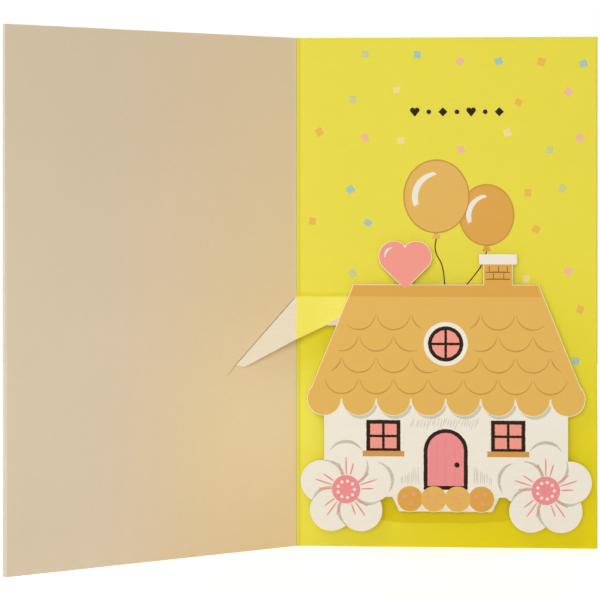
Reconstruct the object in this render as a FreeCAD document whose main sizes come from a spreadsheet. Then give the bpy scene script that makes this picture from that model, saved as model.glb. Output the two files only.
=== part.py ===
import FreeCAD, Part
import os

import Sketcher
from FreeCAD import Placement, Rotation, Vector

# A greeting card that stands open on its bottom edges. A folded strip across the gutter lifts a die-cut
# figure, a house between two blossoms, off the right page.
# Millimetres and degrees. +Z is up along the fold, +X runs along the right leaf, and the pages face -Y.
# The origin is the foot of the fold, in the middle of the cover sheet's thickness.
#
# Every sheet lies at a distance from the cover's middle, counted towards the reader. The surfaces at the
# distance d on the two leaves meet in an upright line, d * tan(swing / 2) along both leaves.

SIZES = [
    ("card_height", 178.0, "height of both folded sheets, along the fold"),
    ("leaf_width", 105.0, "width of one leaf of the cover, from the fold to its free edge"),
    ("opening_angle", 151.3, "angle between the two pages"),
    ("cover_thickness", 0.35, "board of the cover"),
    ("liner_thickness", 0.25, "paper of the printed inner page"),
    ("bond_gap", 0.40, "room between cover and inner page, where the tabs are glued"),
    ("liner_inset", 0.5, "how much shorter the inner page is than the cover at a free edge"),
    ("fold_radius", 0.6, "inside radius of the two folds"),
    ("strip_thickness", 0.30, "card of the lifting strip and of the support leg"),
    ("glue_film", 0.05, "room between two faces that are glued together"),
    ("slit_clearance", 0.06, "room around a strip in its slit"),
    ("bend_stand", 0.25, "how far the middle of a bend stands in front of the page"),
    ("hinge_height", 87.3, "height of the lifting strip's level bend on the right page"),
    ("hinge_length", 36.0, "length of the level bend, from the gutter"),
    ("slit_start", 1.5, "distance from the gutter to the start of a slit"),
    ("glue_line_angle", 45.0, "angle between the fold and the bend on the left page"),
    ("glue_line_length", 32.5, "length of the bend on the left page, from the gutter"),
    ("slit_overrun", 4.9, "how far the left slit runs on past the strip"),
    ("cut_width", 0.12, "width of the left slit where no strip passes through it"),
    ("tip_width", 3.0, "width of the strip's blunt left tip"),
    ("tip_drop", 0.8, "how far the tip reaches past the end of the left bend"),
    ("crease_length", 15.9, "length of the crease between the two wings"),
    ("edge_slope", 26.8, "angle between the right wing's free edge and its level bend"),
    ("score_width", 0.5, "width of the line pressed into the crease"),
    ("score_depth", 0.06, "depth of that line"),
    ("tab_length", 8.0, "length of a glue tab"),
    ("tab_taper", 4.0, "how far each side of a glue tab draws in"),
    ("tab_inset", 4.5, "how far the figure's tab starts in from the right wing's free edge"),
    ("stand_off", 5.05, "distance from the right page to the back of the figure"),
    ("support_height", 31.0, "height of the support leg's bend on the right page"),
    ("support_start", 32.0, "distance from the gutter to the support leg"),
    ("support_width", 40.0, "width of the support leg"),
    ("figure_thickness", 0.40, "board of the die-cut figure"),
    ("figure_centre", 52.0, "distance from the fold to the figure's middle"),
    ("figure_foot", 6.5, "height of the figure's lowest point"),
    ("eaves_width", 96.0, "width of the house's roof at its scalloped eaves"),
    ("eaves_height", 46.0, "height of the eaves, above the figure's foot"),
    ("ridge_width", 64.0, "width of the roof at its ridge"),
    ("ridge_height", 85.5, "height of the ridge, above the figure's foot"),
    ("wall_width", 84.0, "width of the house's wall"),
    ("wall_foot", 12.0, "underside of the wall, above the figure's foot"),
    ("chimney_offset", 18.0, "distance from the figure's middle to the middle of the chimney"),
    ("chimney_width", 10.0, "width of the chimney"),
    ("chimney_rise", 10.5, "top of the chimney, above the ridge"),
    ("cap_width", 13.0, "width of the chimney's cap"),
    ("cap_height", 3.5, "height of the chimney's cap"),
    ("bush_pitch", 8.2, "distance between the low bushes below the wall"),
    ("bush_radius", 4.6, "radius of a low bush"),
    ("bush_drop", 0.6, "distance from the underside of the wall to a bush's middle"),
    ("petal_radius", 7.4, "radius of a petal"),
    ("petal_ring", 8.8, "radius of the ring through the petals' middles"),
    ("blossom_offset", 34.4, "distance from the figure's middle to the middle of a blossom"),
    ("heart_radius", 5.4, "radius of the heart's two lobes"),
    ("heart_offset", 14.0, "distance from the figure's middle to the middle of the heart"),
    ("heart_sink", 1.8, "how far the heart's foot reaches below the ridge"),
]

EAVES_SCALLOPS = 8
BUSHES = 4
PETALS = 5

# Lengths and angles that follow from the driving dimensions, as expressions.
SWING = "(180 deg - Sizes.opening_angle * 1 deg)"
HALF_TURN = f"tan({SWING} / 2)"
COVER_FACE = "(Sizes.cover_thickness / 2)"
COVER_BACK = f"(-{COVER_FACE})"
LINER_BACK = f"({COVER_FACE} + Sizes.bond_gap)"
PAGE = f"({LINER_BACK} + Sizes.liner_thickness)"
TAB = f"({COVER_FACE} + Sizes.bond_gap / 2)"
BEND = f"({PAGE} + Sizes.bend_stand)"
FIGURE_BACK = f"({PAGE} + Sizes.stand_off)"
HALF_STRIP = "(Sizes.strip_thickness / 2)"
HALF_SLIT = f"({HALF_STRIP} + Sizes.slit_clearance)"
GLUE_TAB = f"({FIGURE_BACK} - Sizes.glue_film - {HALF_STRIP})"
GUTTER = f"({BEND} * {HALF_TURN})"

# The taut strip lies in one plane, which leans down and out from the level bend. In that plane the bend on
# the left page runs down from the gutter at the wing angle to the level.
GLUE_ANGLE = "(Sizes.glue_line_angle * 1 deg)"
GLUE_SIN = f"sin({GLUE_ANGLE})"
GLUE_COS = f"cos({GLUE_ANGLE})"
LEAN = f"atan(tan({GLUE_ANGLE}) * sin({SWING}))"
WING_ANGLE = f"acos({GLUE_SIN} * cos({SWING}))"
LEG_LENGTH = f"(({GLUE_TAB} - {BEND}) / sin({LEAN}))"
LEG_DROP = f"({LEG_LENGTH} * cos({LEAN}))"
EDGE_START = f"((Sizes.crease_length - {LEG_LENGTH}) / tan(Sizes.edge_slope * 1 deg))"

doc = FreeCAD.newDocument("greeting_card")


def make_sheet():
    """Write the driving dimensions into the spreadsheet, one row each."""
    sheet = doc.addObject("Spreadsheet::Sheet", "Sizes")
    for row, (alias, value, meaning) in enumerate(SIZES, start=1):
        sheet.set(f"A{row}", alias)
        sheet.set(f"B{row}", str(value))
        sheet.set(f"C{row}", meaning)
        sheet.setAlias(f"B{row}", alias)
    doc.recompute()
    return sheet


def new_body(name):
    """Make a body that carries the name of its piece."""
    body = doc.addObject("PartDesign::Body", name)
    body.Label = name
    return body


def draw(sketch, corners):
    """Draw a closed outline of straight lines, with two bound distances for each corner."""
    count = len(corners)
    turn = 360.0 / count
    ring = [Rotation(Vector(0, 0, 1), turn * i).multVec(Vector(10, 0, 0)) for i in range(count)]
    for i in range(count):
        sketch.addGeometry(Part.LineSegment(ring[i], ring[(i + 1) % count]))
    for i in range(count):
        sketch.addConstraint(Sketcher.Constraint("Coincident", i, 2, (i + 1) % count, 1))
    for i, corner in enumerate(corners):
        for kind, start, value in zip(("DistanceX", "DistanceY"), ring[i], corner):
            index = sketch.addConstraint(Sketcher.Constraint(kind, -1, 1, i, 1, start))
            sketch.renameConstraint(index, f"{kind}{i}")
            sketch.setExpression(f"Constraints.{kind}{i}", value)


def outline(body, name, role, corners):
    """Draw an outline on one of the body's own origin planes."""
    sketch = body.newObject("Sketcher::SketchObject", name)
    plane = next(item for item in body.Origin.OriginFeatures if item.Role == role)
    sketch.AttachmentSupport = (plane, [""])
    sketch.MapMode = "FlatFace"
    draw(sketch, corners)
    return sketch


def on_right_leaf(body, name, distance, corners):
    """Draw an outline parallel to the right page, in X and Z."""
    sketch = outline(body, name, "XZ_Plane", corners)
    sketch.setExpression("AttachmentOffset.Base.z", distance)
    return sketch


def on_left_leaf(body, name, distance, corners):
    """Draw an outline parallel to the left page, where -X runs along the leaf to its free edge."""
    sketch = outline(body, name, "XZ_Plane", corners)
    sketch.AttachmentOffset = Placement(Vector(), Rotation(Vector(0, 1, 0), 10))
    sketch.setExpression("AttachmentOffset.Rotation.Angle", SWING)
    sketch.setExpression("AttachmentOffset.Base.x", f"{distance} * sin({SWING})")
    sketch.setExpression("AttachmentOffset.Base.z", f"{distance} * cos({SWING})")
    return sketch


def on_lean(body, name, height, corners, rise="0"):
    """Draw an outline on the leaning plane, from the gutter and the level bend, or raised off that plane."""
    sketch = outline(body, name, "XZ_Plane", corners)
    sketch.AttachmentOffset = Placement(Vector(), Rotation(Vector(-1, 0, 0), 10))
    sketch.setExpression("AttachmentOffset.Rotation.Angle", LEAN)
    sketch.setExpression("AttachmentOffset.Base.x", GUTTER)
    sketch.setExpression("AttachmentOffset.Base.y", f"{height} + {rise} * sin({LEAN})")
    sketch.setExpression("AttachmentOffset.Base.z", f"{BEND} + {rise} * cos({LEAN})")
    return sketch


def along_left_bend(length, away):
    """Place a corner on the left page, along the bend from the gutter and away from it, up and out."""
    across = f"-{GUTTER} - {length} * {GLUE_SIN} - {away} * {GLUE_COS}"
    up = f"Sizes.hinge_height - {length} * {GLUE_COS} + {away} * {GLUE_SIN}"
    return across, up


def on_left_wing(length, away="0", across="0"):
    """Place a corner on the leaning plane, along the left wing's bend, away from it or level from there."""
    level = f"{across} - {length} * cos({WING_ANGLE}) - {away} * sin({WING_ANGLE})"
    return level, f"{away} * cos({WING_ANGLE}) - {length} * sin({WING_ANGLE})"


def pad(body, sketch, length, sides="One side"):
    """Thicken an outline, forwards from its plane or to both sides of it."""
    feature = body.newObject("PartDesign::Pad", f"{sketch.Name}_pad")
    feature.Profile = sketch
    feature.SideType = sides
    feature.setExpression("Length", length)
    doc.recompute()


def pocket(body, sketch, length):
    """Cut an outline out of the body to both sides of its plane, and see that something goes."""
    before = body.Shape.Volume
    feature = body.newObject("PartDesign::Pocket", f"{sketch.Name}_pocket")
    feature.Profile = sketch
    feature.SideType = "Symmetric"
    feature.setExpression("Length", length)
    doc.recompute()
    if not body.Shape.Volume < before:
        raise RuntimeError(f"{feature.Name} cut nothing")


def round_fold(body, name, pick, radius):
    """Round the fold's upright edge that lies furthest to the front (min) or to the back (max)."""
    base = body.Tip
    reach = base.Shape.BoundBox.XLength / 4
    edges = {}
    for index, edge in enumerate(base.Shape.Edges, start=1):
        middle = edge.CenterOfMass
        upright = edge.BoundBox.ZLength > base.Shape.BoundBox.ZLength / 2
        if upright and abs(middle.x) < reach:
            edges[middle.y] = f"Edge{index}"
    feature = body.newObject("PartDesign::Fillet", name)
    feature.Base = (base, [edges[pick(edges)]])
    feature.setExpression("Radius", radius)
    doc.recompute()


def folded_sheet(name, back, face, inset, thickness):
    """Make an upright sheet with one fold, between two distances from the cover's middle."""
    body = new_body(name)
    width = f"(Sizes.leaf_width - {inset})"
    corners = [
        (width, f"-{back}"),
        (width, f"-{face}"),
        (f"{face} * {HALF_TURN}", f"-{face}"),
        (
            f"{face} * sin({SWING}) - {width} * cos({SWING})",
            f"-{face} * cos({SWING}) - {width} * sin({SWING})",
        ),
        (
            f"{back} * sin({SWING}) - {width} * cos({SWING})",
            f"-{back} * cos({SWING}) - {width} * sin({SWING})",
        ),
        (f"{back} * {HALF_TURN}", f"-{back}"),
    ]
    pad(body, outline(body, f"{name}_section", "XY_Plane", corners), "Sizes.card_height")
    round_fold(body, f"{name}_inner_fold", min, "Sizes.fold_radius")
    round_fold(body, f"{name}_outer_fold", max, f"Sizes.fold_radius + {thickness}")
    return body


def cut_level_slit(page, name, height, start, end):
    """Cut a level slit for a strip through the right half of the inner page."""
    corners = [
        (f"{start} - Sizes.slit_clearance", f"{height} - {HALF_SLIT}"),
        (f"{end} + Sizes.slit_clearance", f"{height} - {HALF_SLIT}"),
        (f"{end} + Sizes.slit_clearance", f"{height} + {HALF_SLIT}"),
        (f"{start} - Sizes.slit_clearance", f"{height} + {HALF_SLIT}"),
    ]
    pocket(page, on_right_leaf(page, name, LINER_BACK, corners), "3 * Sizes.liner_thickness")


def cut_slanted_slit(page, name, start, end, half_width):
    """Cut a slit along the bend of the left page, between two distances from the gutter."""
    corners = [
        along_left_bend(start, f"-{half_width}"),
        along_left_bend(end, f"-{half_width}"),
        along_left_bend(end, half_width),
        along_left_bend(start, half_width),
    ]
    pocket(page, on_left_leaf(page, name, LINER_BACK, corners), "3 * Sizes.liner_thickness")


def add_root(body, name, height, start, end):
    """Add the part of a strip that passes level through its slit and is glued upright behind the page."""
    lip = [
        (start, f"{height} - {HALF_STRIP}"),
        (end, f"{height} - {HALF_STRIP}"),
        (end, f"{height} + {HALF_STRIP}"),
        (start, f"{height} + {HALF_STRIP}"),
    ]
    tab = [
        (start, f"{height} - {HALF_STRIP}"),
        (end, f"{height} - {HALF_STRIP}"),
        (f"{end} - Sizes.tab_taper", f"{height} + Sizes.tab_length"),
        (f"{start} + Sizes.tab_taper", f"{height} + Sizes.tab_length"),
    ]
    pad(body, on_right_leaf(body, f"{name}_lip", TAB, lip), f"{BEND} - {TAB}")
    pad(body, on_right_leaf(body, f"{name}_tab", TAB, tab), "Sizes.strip_thickness", "Symmetric")


def add_glue_tab(body, name, height, start, end):
    """Add the tab that hangs from a strip's outer bend, flat behind the figure."""
    top = f"{height} - {LEG_DROP} + {HALF_STRIP} * tan({LEAN} / 2)"
    corners = [
        (start, top),
        (end, top),
        (f"{end} - Sizes.tab_taper", f"{height} - {LEG_DROP} - Sizes.tab_length"),
        (f"{start} + Sizes.tab_taper", f"{height} - {LEG_DROP} - Sizes.tab_length"),
    ]
    pad(body, on_right_leaf(body, name, GLUE_TAB, corners), "Sizes.strip_thickness", "Symmetric")


def make_inner_page():
    """Make the printed page that lines the cover, slit where the strips pass through."""
    page = folded_sheet("inner_page", LINER_BACK, PAGE, "Sizes.liner_inset", "Sizes.liner_thickness")
    start = f"{GUTTER} + Sizes.slit_start"
    cut_level_slit(page, "level_slit", "Sizes.hinge_height", start, f"{GUTTER} + Sizes.hinge_length")
    start = "Sizes.support_start"
    cut_level_slit(page, "support_slit", "Sizes.support_height", start, f"{start} + Sizes.support_width")
    near = "(Sizes.slit_start - Sizes.slit_clearance)"
    past_strip = "(Sizes.glue_line_length + Sizes.slit_clearance)"
    far = "(Sizes.glue_line_length + Sizes.slit_overrun)"
    cut_slanted_slit(page, "slanted_slit", near, past_strip, HALF_SLIT)
    cut_slanted_slit(page, "slanted_cut", "Sizes.glue_line_length", far, "(Sizes.cut_width / 2)")


def make_lifting_strip():
    """Make the strip that crosses the gutter: two wings in one plane, a root in each page, and a glue tab."""
    strip = new_body("lifting_strip")
    wings = [
        ("0", HALF_STRIP),
        on_left_wing("0", HALF_STRIP),
        on_left_wing("Sizes.glue_line_length", HALF_STRIP),
        on_left_wing("(Sizes.glue_line_length + Sizes.tip_drop)", across="Sizes.tip_width"),
        ("0", "-Sizes.crease_length"),
        (EDGE_START, f"-{LEG_LENGTH}"),
        ("Sizes.hinge_length", f"-{LEG_LENGTH}"),
        ("Sizes.hinge_length", HALF_STRIP),
    ]
    plane = on_lean(strip, "wings", "Sizes.hinge_height", wings)
    pad(strip, plane, "Sizes.strip_thickness", "Symmetric")

    end = f"{GUTTER} + Sizes.hinge_length"
    add_root(strip, "right_root", "Sizes.hinge_height", f"{GUTTER} + Sizes.slit_start", end)
    start = f"{GUTTER} + {EDGE_START} + Sizes.tab_inset"
    add_glue_tab(strip, "figure_tab", "Sizes.hinge_height", start, end)

    lip = [
        along_left_bend("Sizes.slit_start", f"-{HALF_STRIP}"),
        along_left_bend("Sizes.glue_line_length", f"-{HALF_STRIP}"),
        along_left_bend("Sizes.glue_line_length", HALF_STRIP),
        along_left_bend("Sizes.slit_start", HALF_STRIP),
    ]
    tab = [
        along_left_bend("Sizes.slit_start", f"-{HALF_STRIP}"),
        along_left_bend("Sizes.glue_line_length", f"-{HALF_STRIP}"),
        along_left_bend("(Sizes.glue_line_length - Sizes.tab_taper)", "Sizes.tab_length"),
        along_left_bend("(Sizes.slit_start + Sizes.tab_taper)", "Sizes.tab_length"),
    ]
    pad(strip, on_left_leaf(strip, "left_root_lip", TAB, lip), f"{BEND} - {TAB}")
    pad(strip, on_left_leaf(strip, "left_root_tab", TAB, tab), "Sizes.strip_thickness", "Symmetric")

    half_score = "Sizes.score_width / 2"
    score = [
        (f"-{half_score}", "0"),
        (half_score, "0"),
        (half_score, "-Sizes.crease_length"),
        (f"-{half_score}", "-Sizes.crease_length"),
    ]
    crease = on_lean(strip, "crease", "Sizes.hinge_height", score, rise=HALF_STRIP)
    pocket(strip, crease, "2 * Sizes.score_depth")


def make_support_leg():
    """Make the lower leg, which leans like the strip and holds the figure parallel to the page."""
    leg = new_body("support_leg")
    start = f"Sizes.support_start - {GUTTER}"
    end = f"{start} + Sizes.support_width"
    panel = [
        (start, HALF_STRIP),
        (start, f"-{LEG_LENGTH}"),
        (end, f"-{LEG_LENGTH}"),
        (end, HALF_STRIP),
    ]
    plane = on_lean(leg, "leg_panel", "Sizes.support_height", panel)
    pad(leg, plane, "Sizes.strip_thickness", "Symmetric")
    start = "Sizes.support_start"
    end = f"{start} + Sizes.support_width"
    add_root(leg, "leg_root", "Sizes.support_height", start, end)
    add_glue_tab(leg, "leg_figure_tab", "Sizes.support_height", start, end)


def board(name, corners):
    """Cut a piece with straight sides from the figure's board."""
    sketch = doc.addObject("Sketcher::SketchObject", f"{name}_outline")
    sketch.Placement = Placement(Vector(), Rotation(Vector(1, 0, 0), 90))
    draw(sketch, corners)
    piece = doc.addObject("Part::Extrusion", name)
    piece.Base = sketch
    piece.DirMode = "Normal"
    piece.Solid = True
    piece.setExpression("LengthFwd", "Sizes.figure_thickness")
    return piece


def upright(name, middle, width, bottom, top):
    """Cut an upright rectangle from the figure's board."""
    left = f"{middle} - {width} / 2"
    right = f"{middle} + {width} / 2"
    return board(name, [(left, bottom), (right, bottom), (right, top), (left, top)])


def disc(name, across, up, radius):
    """Cut a round from the figure's board."""
    cylinder = doc.addObject("Part::Cylinder", name)
    cylinder.Placement = Placement(Vector(), Rotation(Vector(1, 0, 0), 90))
    cylinder.setExpression("Radius", radius)
    cylinder.setExpression("Height", "Sizes.figure_thickness")
    cylinder.setExpression("Placement.Base.x", across)
    cylinder.setExpression("Placement.Base.z", up)
    return cylinder


def scallops(name, count, pitch, up, radius):
    """Cut a level row of rounds, with its middle on the figure's middle."""
    places = [i - (count - 1) / 2 for i in range(count)]
    return [disc(f"{name}_{i + 1}", f"{place} * {pitch}", up, radius) for i, place in enumerate(places)]


def house():
    """Cut the house: a wall on low bushes, a roof with scalloped eaves, and a chimney with its cap."""
    wall = upright("wall", "0", "Sizes.wall_width", "Sizes.wall_foot", "Sizes.eaves_height")
    roof = board("roof", [
        ("-Sizes.eaves_width / 2", "Sizes.eaves_height"),
        ("Sizes.eaves_width / 2", "Sizes.eaves_height"),
        ("Sizes.ridge_width / 2", "Sizes.ridge_height"),
        ("-Sizes.ridge_width / 2", "Sizes.ridge_height"),
    ])
    pitch = f"(Sizes.eaves_width / {EAVES_SCALLOPS})"
    eaves = scallops("eaves_scallop", EAVES_SCALLOPS, pitch, "Sizes.eaves_height", f"{pitch} / 2")
    low = "Sizes.wall_foot - Sizes.bush_drop"
    bushes = scallops("bush", BUSHES, "Sizes.bush_pitch", low, "Sizes.bush_radius")
    middle = "Sizes.chimney_offset"
    top = "(Sizes.ridge_height + Sizes.chimney_rise)"
    cap_foot = f"({top} - Sizes.cap_height)"
    stack = upright("chimney", middle, "Sizes.chimney_width", "Sizes.eaves_height", cap_foot)
    cap = upright("chimney_cap", middle, "Sizes.cap_width", cap_foot, top)
    return [wall, roof, stack, cap] + eaves + bushes


def blossom(name, side):
    """Cut a blossom whose lowest petals reach the figure's foot, left (-1) or right (1) of the middle."""
    step = 360 / PETALS
    middle = f"(Sizes.petal_ring * cos({step / 2} deg) + Sizes.petal_radius)"
    across = f"({side} * Sizes.blossom_offset)"
    pieces = [disc(f"{name}_middle", across, middle, "Sizes.petal_ring")]
    for i in range(PETALS):
        petal_x = f"{across} + Sizes.petal_ring * sin({step * i} deg)"
        petal_z = f"{middle} + Sizes.petal_ring * cos({step * i} deg)"
        pieces.append(disc(f"{name}_petal_{i + 1}", petal_x, petal_z, "Sizes.petal_radius"))
    return pieces


def heart():
    """Cut the heart on the ridge: a square that stands on its corner, and a lobe on each upper side."""
    middle = "-Sizes.heart_offset"
    half = "Sizes.heart_radius * sqrt(2)"
    shift = "Sizes.heart_radius / sqrt(2)"
    level = f"(Sizes.ridge_height - Sizes.heart_sink + {half})"
    square = board("heart_square", [
        (middle, f"{level} - {half}"),
        (f"{middle} + {half}", level),
        (middle, f"{level} + {half}"),
        (f"{middle} - {half}", level),
    ])
    left = disc("heart_left", f"{middle} - {shift}", f"{level} + {shift}", "Sizes.heart_radius")
    right = disc("heart_right", f"{middle} + {shift}", f"{level} + {shift}", "Sizes.heart_radius")
    return [square, left, right]


def make_figure():
    """Make the die-cut figure from one piece of board and set it in front of the right page."""
    figure = doc.addObject("Part::MultiFuse", "figure")
    figure.Label = "figure"
    figure.Shapes = house() + heart() + blossom("left_blossom", -1) + blossom("right_blossom", 1)
    figure.Refine = True
    figure.setExpression("Placement.Base.x", "Sizes.figure_centre")
    figure.setExpression("Placement.Base.y", f"-{FIGURE_BACK}")
    figure.setExpression("Placement.Base.z", "Sizes.figure_foot")


def check_and_write(names):
    """See that nothing failed and that each piece is one sound solid, then write the pieces."""
    doc.recompute()
    failed = [item.Name for item in doc.Objects if {"Invalid", "Error"} & set(item.State)]
    if failed:
        raise RuntimeError(f"failed: {failed}")
    os.makedirs("parts", exist_ok=True)
    pieces = [doc.getObject(name) for name in names]
    for piece in pieces:
        shape = piece.Shape
        if shape.isNull() or not shape.isValid() or len(shape.Solids) != 1:
            raise RuntimeError(f"{piece.Label} is not one sound solid")
    for piece in pieces:
        piece.Shape.exportStep(f"parts/{piece.Label}.step")
        print(f"{piece.Label}: {piece.Shape.Volume:.1f} mm3")


make_sheet()
folded_sheet("cover", COVER_BACK, COVER_FACE, "0", "Sizes.cover_thickness")
make_inner_page()
make_lifting_strip()
make_support_leg()
make_figure()
check_and_write(["cover", "inner_page", "lifting_strip", "support_leg", "figure"])
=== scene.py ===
import logging
import math
import random
from dataclasses import dataclass
from enum import Enum
from typing import Protocol

import bpy
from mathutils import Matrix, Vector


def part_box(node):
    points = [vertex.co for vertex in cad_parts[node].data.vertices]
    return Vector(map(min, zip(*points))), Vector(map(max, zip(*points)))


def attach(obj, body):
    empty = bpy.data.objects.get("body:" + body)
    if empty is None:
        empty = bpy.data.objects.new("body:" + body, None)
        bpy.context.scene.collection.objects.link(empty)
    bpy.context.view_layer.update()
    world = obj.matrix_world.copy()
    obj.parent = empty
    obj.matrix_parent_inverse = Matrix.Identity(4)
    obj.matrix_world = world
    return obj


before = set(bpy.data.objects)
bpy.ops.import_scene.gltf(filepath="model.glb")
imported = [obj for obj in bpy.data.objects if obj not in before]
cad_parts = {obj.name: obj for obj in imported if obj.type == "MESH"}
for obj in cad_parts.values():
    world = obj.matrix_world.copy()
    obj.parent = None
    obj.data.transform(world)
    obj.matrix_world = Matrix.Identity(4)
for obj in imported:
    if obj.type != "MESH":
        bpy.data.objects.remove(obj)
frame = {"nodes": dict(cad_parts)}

LOG = logging.getLogger("greeting_card")
MM = 0.001
SEED = 41

Point = tuple[float, float]
Place = tuple[float, float, float]
Box = tuple[float, float, float, float]
Colour = tuple[int, int, int]
Outline = list[Point]


class Level(Enum):
    """How high a print's top stands over its sheet, in millimetres, in the order of printing."""

    GROUND = 0.02
    SHADE = 0.03
    FIELD = 0.04
    SHAPE = 0.06
    PANEL = 0.08
    INSET = 0.10
    DETAIL = 0.12
    LINE = 0.14


class Mark(Enum):
    """The kinds of small dark mark in the row near the top of the page."""

    HEART = "heart"
    DOT = "dot"
    DIAMOND = "diamond"


def linear(value: float) -> float:
    """Turn one 8-bit sRGB channel into a linear value."""
    share = value / 255
    return share / 12.92 if share <= 0.04045 else ((share + 0.055) / 1.055) ** 2.4


def rgba(colour: Colour) -> tuple[float, float, float, float]:
    """Turn an 8-bit sRGB colour into a linear colour with full alpha."""
    return (linear(colour[0]), linear(colour[1]), linear(colour[2]), 1.0)


# Node groups: effects that several finishes share.


class Graph:
    """Adds nodes to one tree and joins them, so that a finish reads from left to right."""

    def __init__(self, tree: bpy.types.NodeTree) -> None:
        """Start with an empty tree."""
        self.tree = tree
        tree.nodes.clear()

    def node(self, kind: str, **settings: object) -> bpy.types.Node:
        """Add a node.

        Args:
            kind: Blender's name for the node.
            **settings: the node's properties by name.

        Returns:
            The node.
        """
        made = self.tree.nodes.new(kind)
        for name, value in settings.items():
            setattr(made, name, value)
        return made

    def feed(self, socket: bpy.types.NodeSocket, value: object) -> None:
        """Give an input its value.

        Args:
            socket: the input.
            value: another node's output, or a plain value.
        """
        if isinstance(value, bpy.types.NodeSocket):
            self.tree.links.new(value, socket)
        else:
            socket.default_value = value

    def maths(self, operation: str, first: object, second: object = 0.0) -> bpy.types.NodeSocket:
        """Work out one sum.

        Args:
            operation: Blender's name for the sum.
            first: an output or a number.
            second: an output or a number.

        Returns:
            The output that gives the result.
        """
        made = self.node("ShaderNodeMath", operation=operation)
        self.feed(made.inputs[0], first)
        self.feed(made.inputs[1], second)
        return made.outputs[0]

    def product(self, *factors: object) -> bpy.types.NodeSocket:
        """Multiply several outputs or numbers.

        Args:
            *factors: two or more outputs or numbers.

        Returns:
            The output that gives their product.
        """
        result = factors[0]
        for factor in factors[1:]:
            result = self.maths("MULTIPLY", result, factor)
        return result

    def inverse(self, mask: object) -> bpy.types.NodeSocket:
        """Return 1 where a mask is 0, and 0 where it is 1."""
        return self.maths("SUBTRACT", 1.0, mask)

    def mixed(self, share: object, first: object, second: object) -> bpy.types.NodeSocket:
        """Mix two colours.

        Args:
            share: how much of the second colour shows.
            first: a colour or the output that gives it.
            second: a colour or the output that gives it.

        Returns:
            The output that gives the mixed colour.
        """
        made = self.node("ShaderNodeMix", data_type="RGBA")
        self.feed(made.inputs["Factor"], share)
        self.feed(made.inputs[6], first)
        self.feed(made.inputs[7], second)
        return made.outputs[2]

    def ramp(self, value: object, low: float, high: float) -> bpy.types.NodeSocket:
        """Turn a value into a mask with a smooth change.

        Args:
            value: an output.
            low: the value up to which the mask is 0.
            high: the value from which the mask is 1.

        Returns:
            The mask.
        """
        made = self.node("ShaderNodeMapRange", interpolation_type="SMOOTHSTEP")
        self.feed(made.inputs["Value"], value)
        made.inputs["From Min"].default_value = low
        made.inputs["From Max"].default_value = high
        return made.outputs["Result"]

    def place(self) -> tuple[bpy.types.NodeSocket, bpy.types.NodeSocket, bpy.types.NodeSocket]:
        """Find a point's place on its object.

        Returns:
            The outputs that give x, y and z, each in millimetres.
        """
        scaled = self.node("ShaderNodeVectorMath", operation="SCALE")
        self.feed(scaled.inputs[0], self.node("ShaderNodeTexCoord").outputs["Object"])
        self.feed(scaled.inputs["Scale"], 1 / MM)
        split = self.node("ShaderNodeSeparateXYZ")
        self.feed(split.inputs[0], scaled.outputs[0])
        return split.outputs["X"], split.outputs["Y"], split.outputs["Z"]

    def group(self, tree: bpy.types.NodeTree, **values: object) -> bpy.types.Node:
        """Place a node group.

        Args:
            tree: the group.
            **values: its inputs by name, with _ for a space.

        Returns:
            The group's node.
        """
        made = self.node("ShaderNodeGroup", node_tree=tree)
        for name, value in values.items():
            self.feed(made.inputs[name.replace("_", " ")], value)
        return made

    def line(self, along: object, middle: float, half_width: float) -> bpy.types.NodeSocket:
        """Return a mask that is 1 on a straight line and fades to 0 at its half width."""
        made = self.group(LINE_MASK, Along=along, Middle=middle, Half_Width=half_width)
        return made.outputs["Mask"]


def new_group(name: str, inputs: dict[str, tuple[str, object]], outputs: dict[str, str]) -> Graph:
    """Start a shader node group with named sockets.

    Args:
        name: the group's name.
        inputs: each input's socket type and its plain value.
        outputs: each output's socket type.

    Returns:
        The group's graph, with nodes named "in" and "out" for its sockets.
    """
    tree = bpy.data.node_groups.new(name, "ShaderNodeTree")
    for label, (kind, value) in inputs.items():
        socket = tree.interface.new_socket(label, in_out="INPUT", socket_type=kind)
        socket.default_value = value
    for label, kind in outputs.items():
        tree.interface.new_socket(label, in_out="OUTPUT", socket_type=kind)
    graph = Graph(tree)
    graph.node("NodeGroupInput", name="in")
    graph.node("NodeGroupOutput", name="out")
    return graph


# How far the fibres are drawn out along the sheet, how they lean, and their scale beside the tooth's.
FIBRE_STRETCH = (0.18, 1.0, 1.0)
FIBRE_LEAN = math.radians(20.0)
FIBRE_COARSE = 0.6
# The noise's detail in the tooth, the fibres and the clouding.
TOOTH_DETAIL = 4.0
FIBRE_DETAIL = 2.0
CLOUD_DETAIL = 3.0
# Where a speck's edge starts and ends, as shares of its radius, and how far a side has to look one way.
SPECK_EDGE = (0.3, 1.0)
SIDE_EDGE = (0.3, 0.5)


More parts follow.
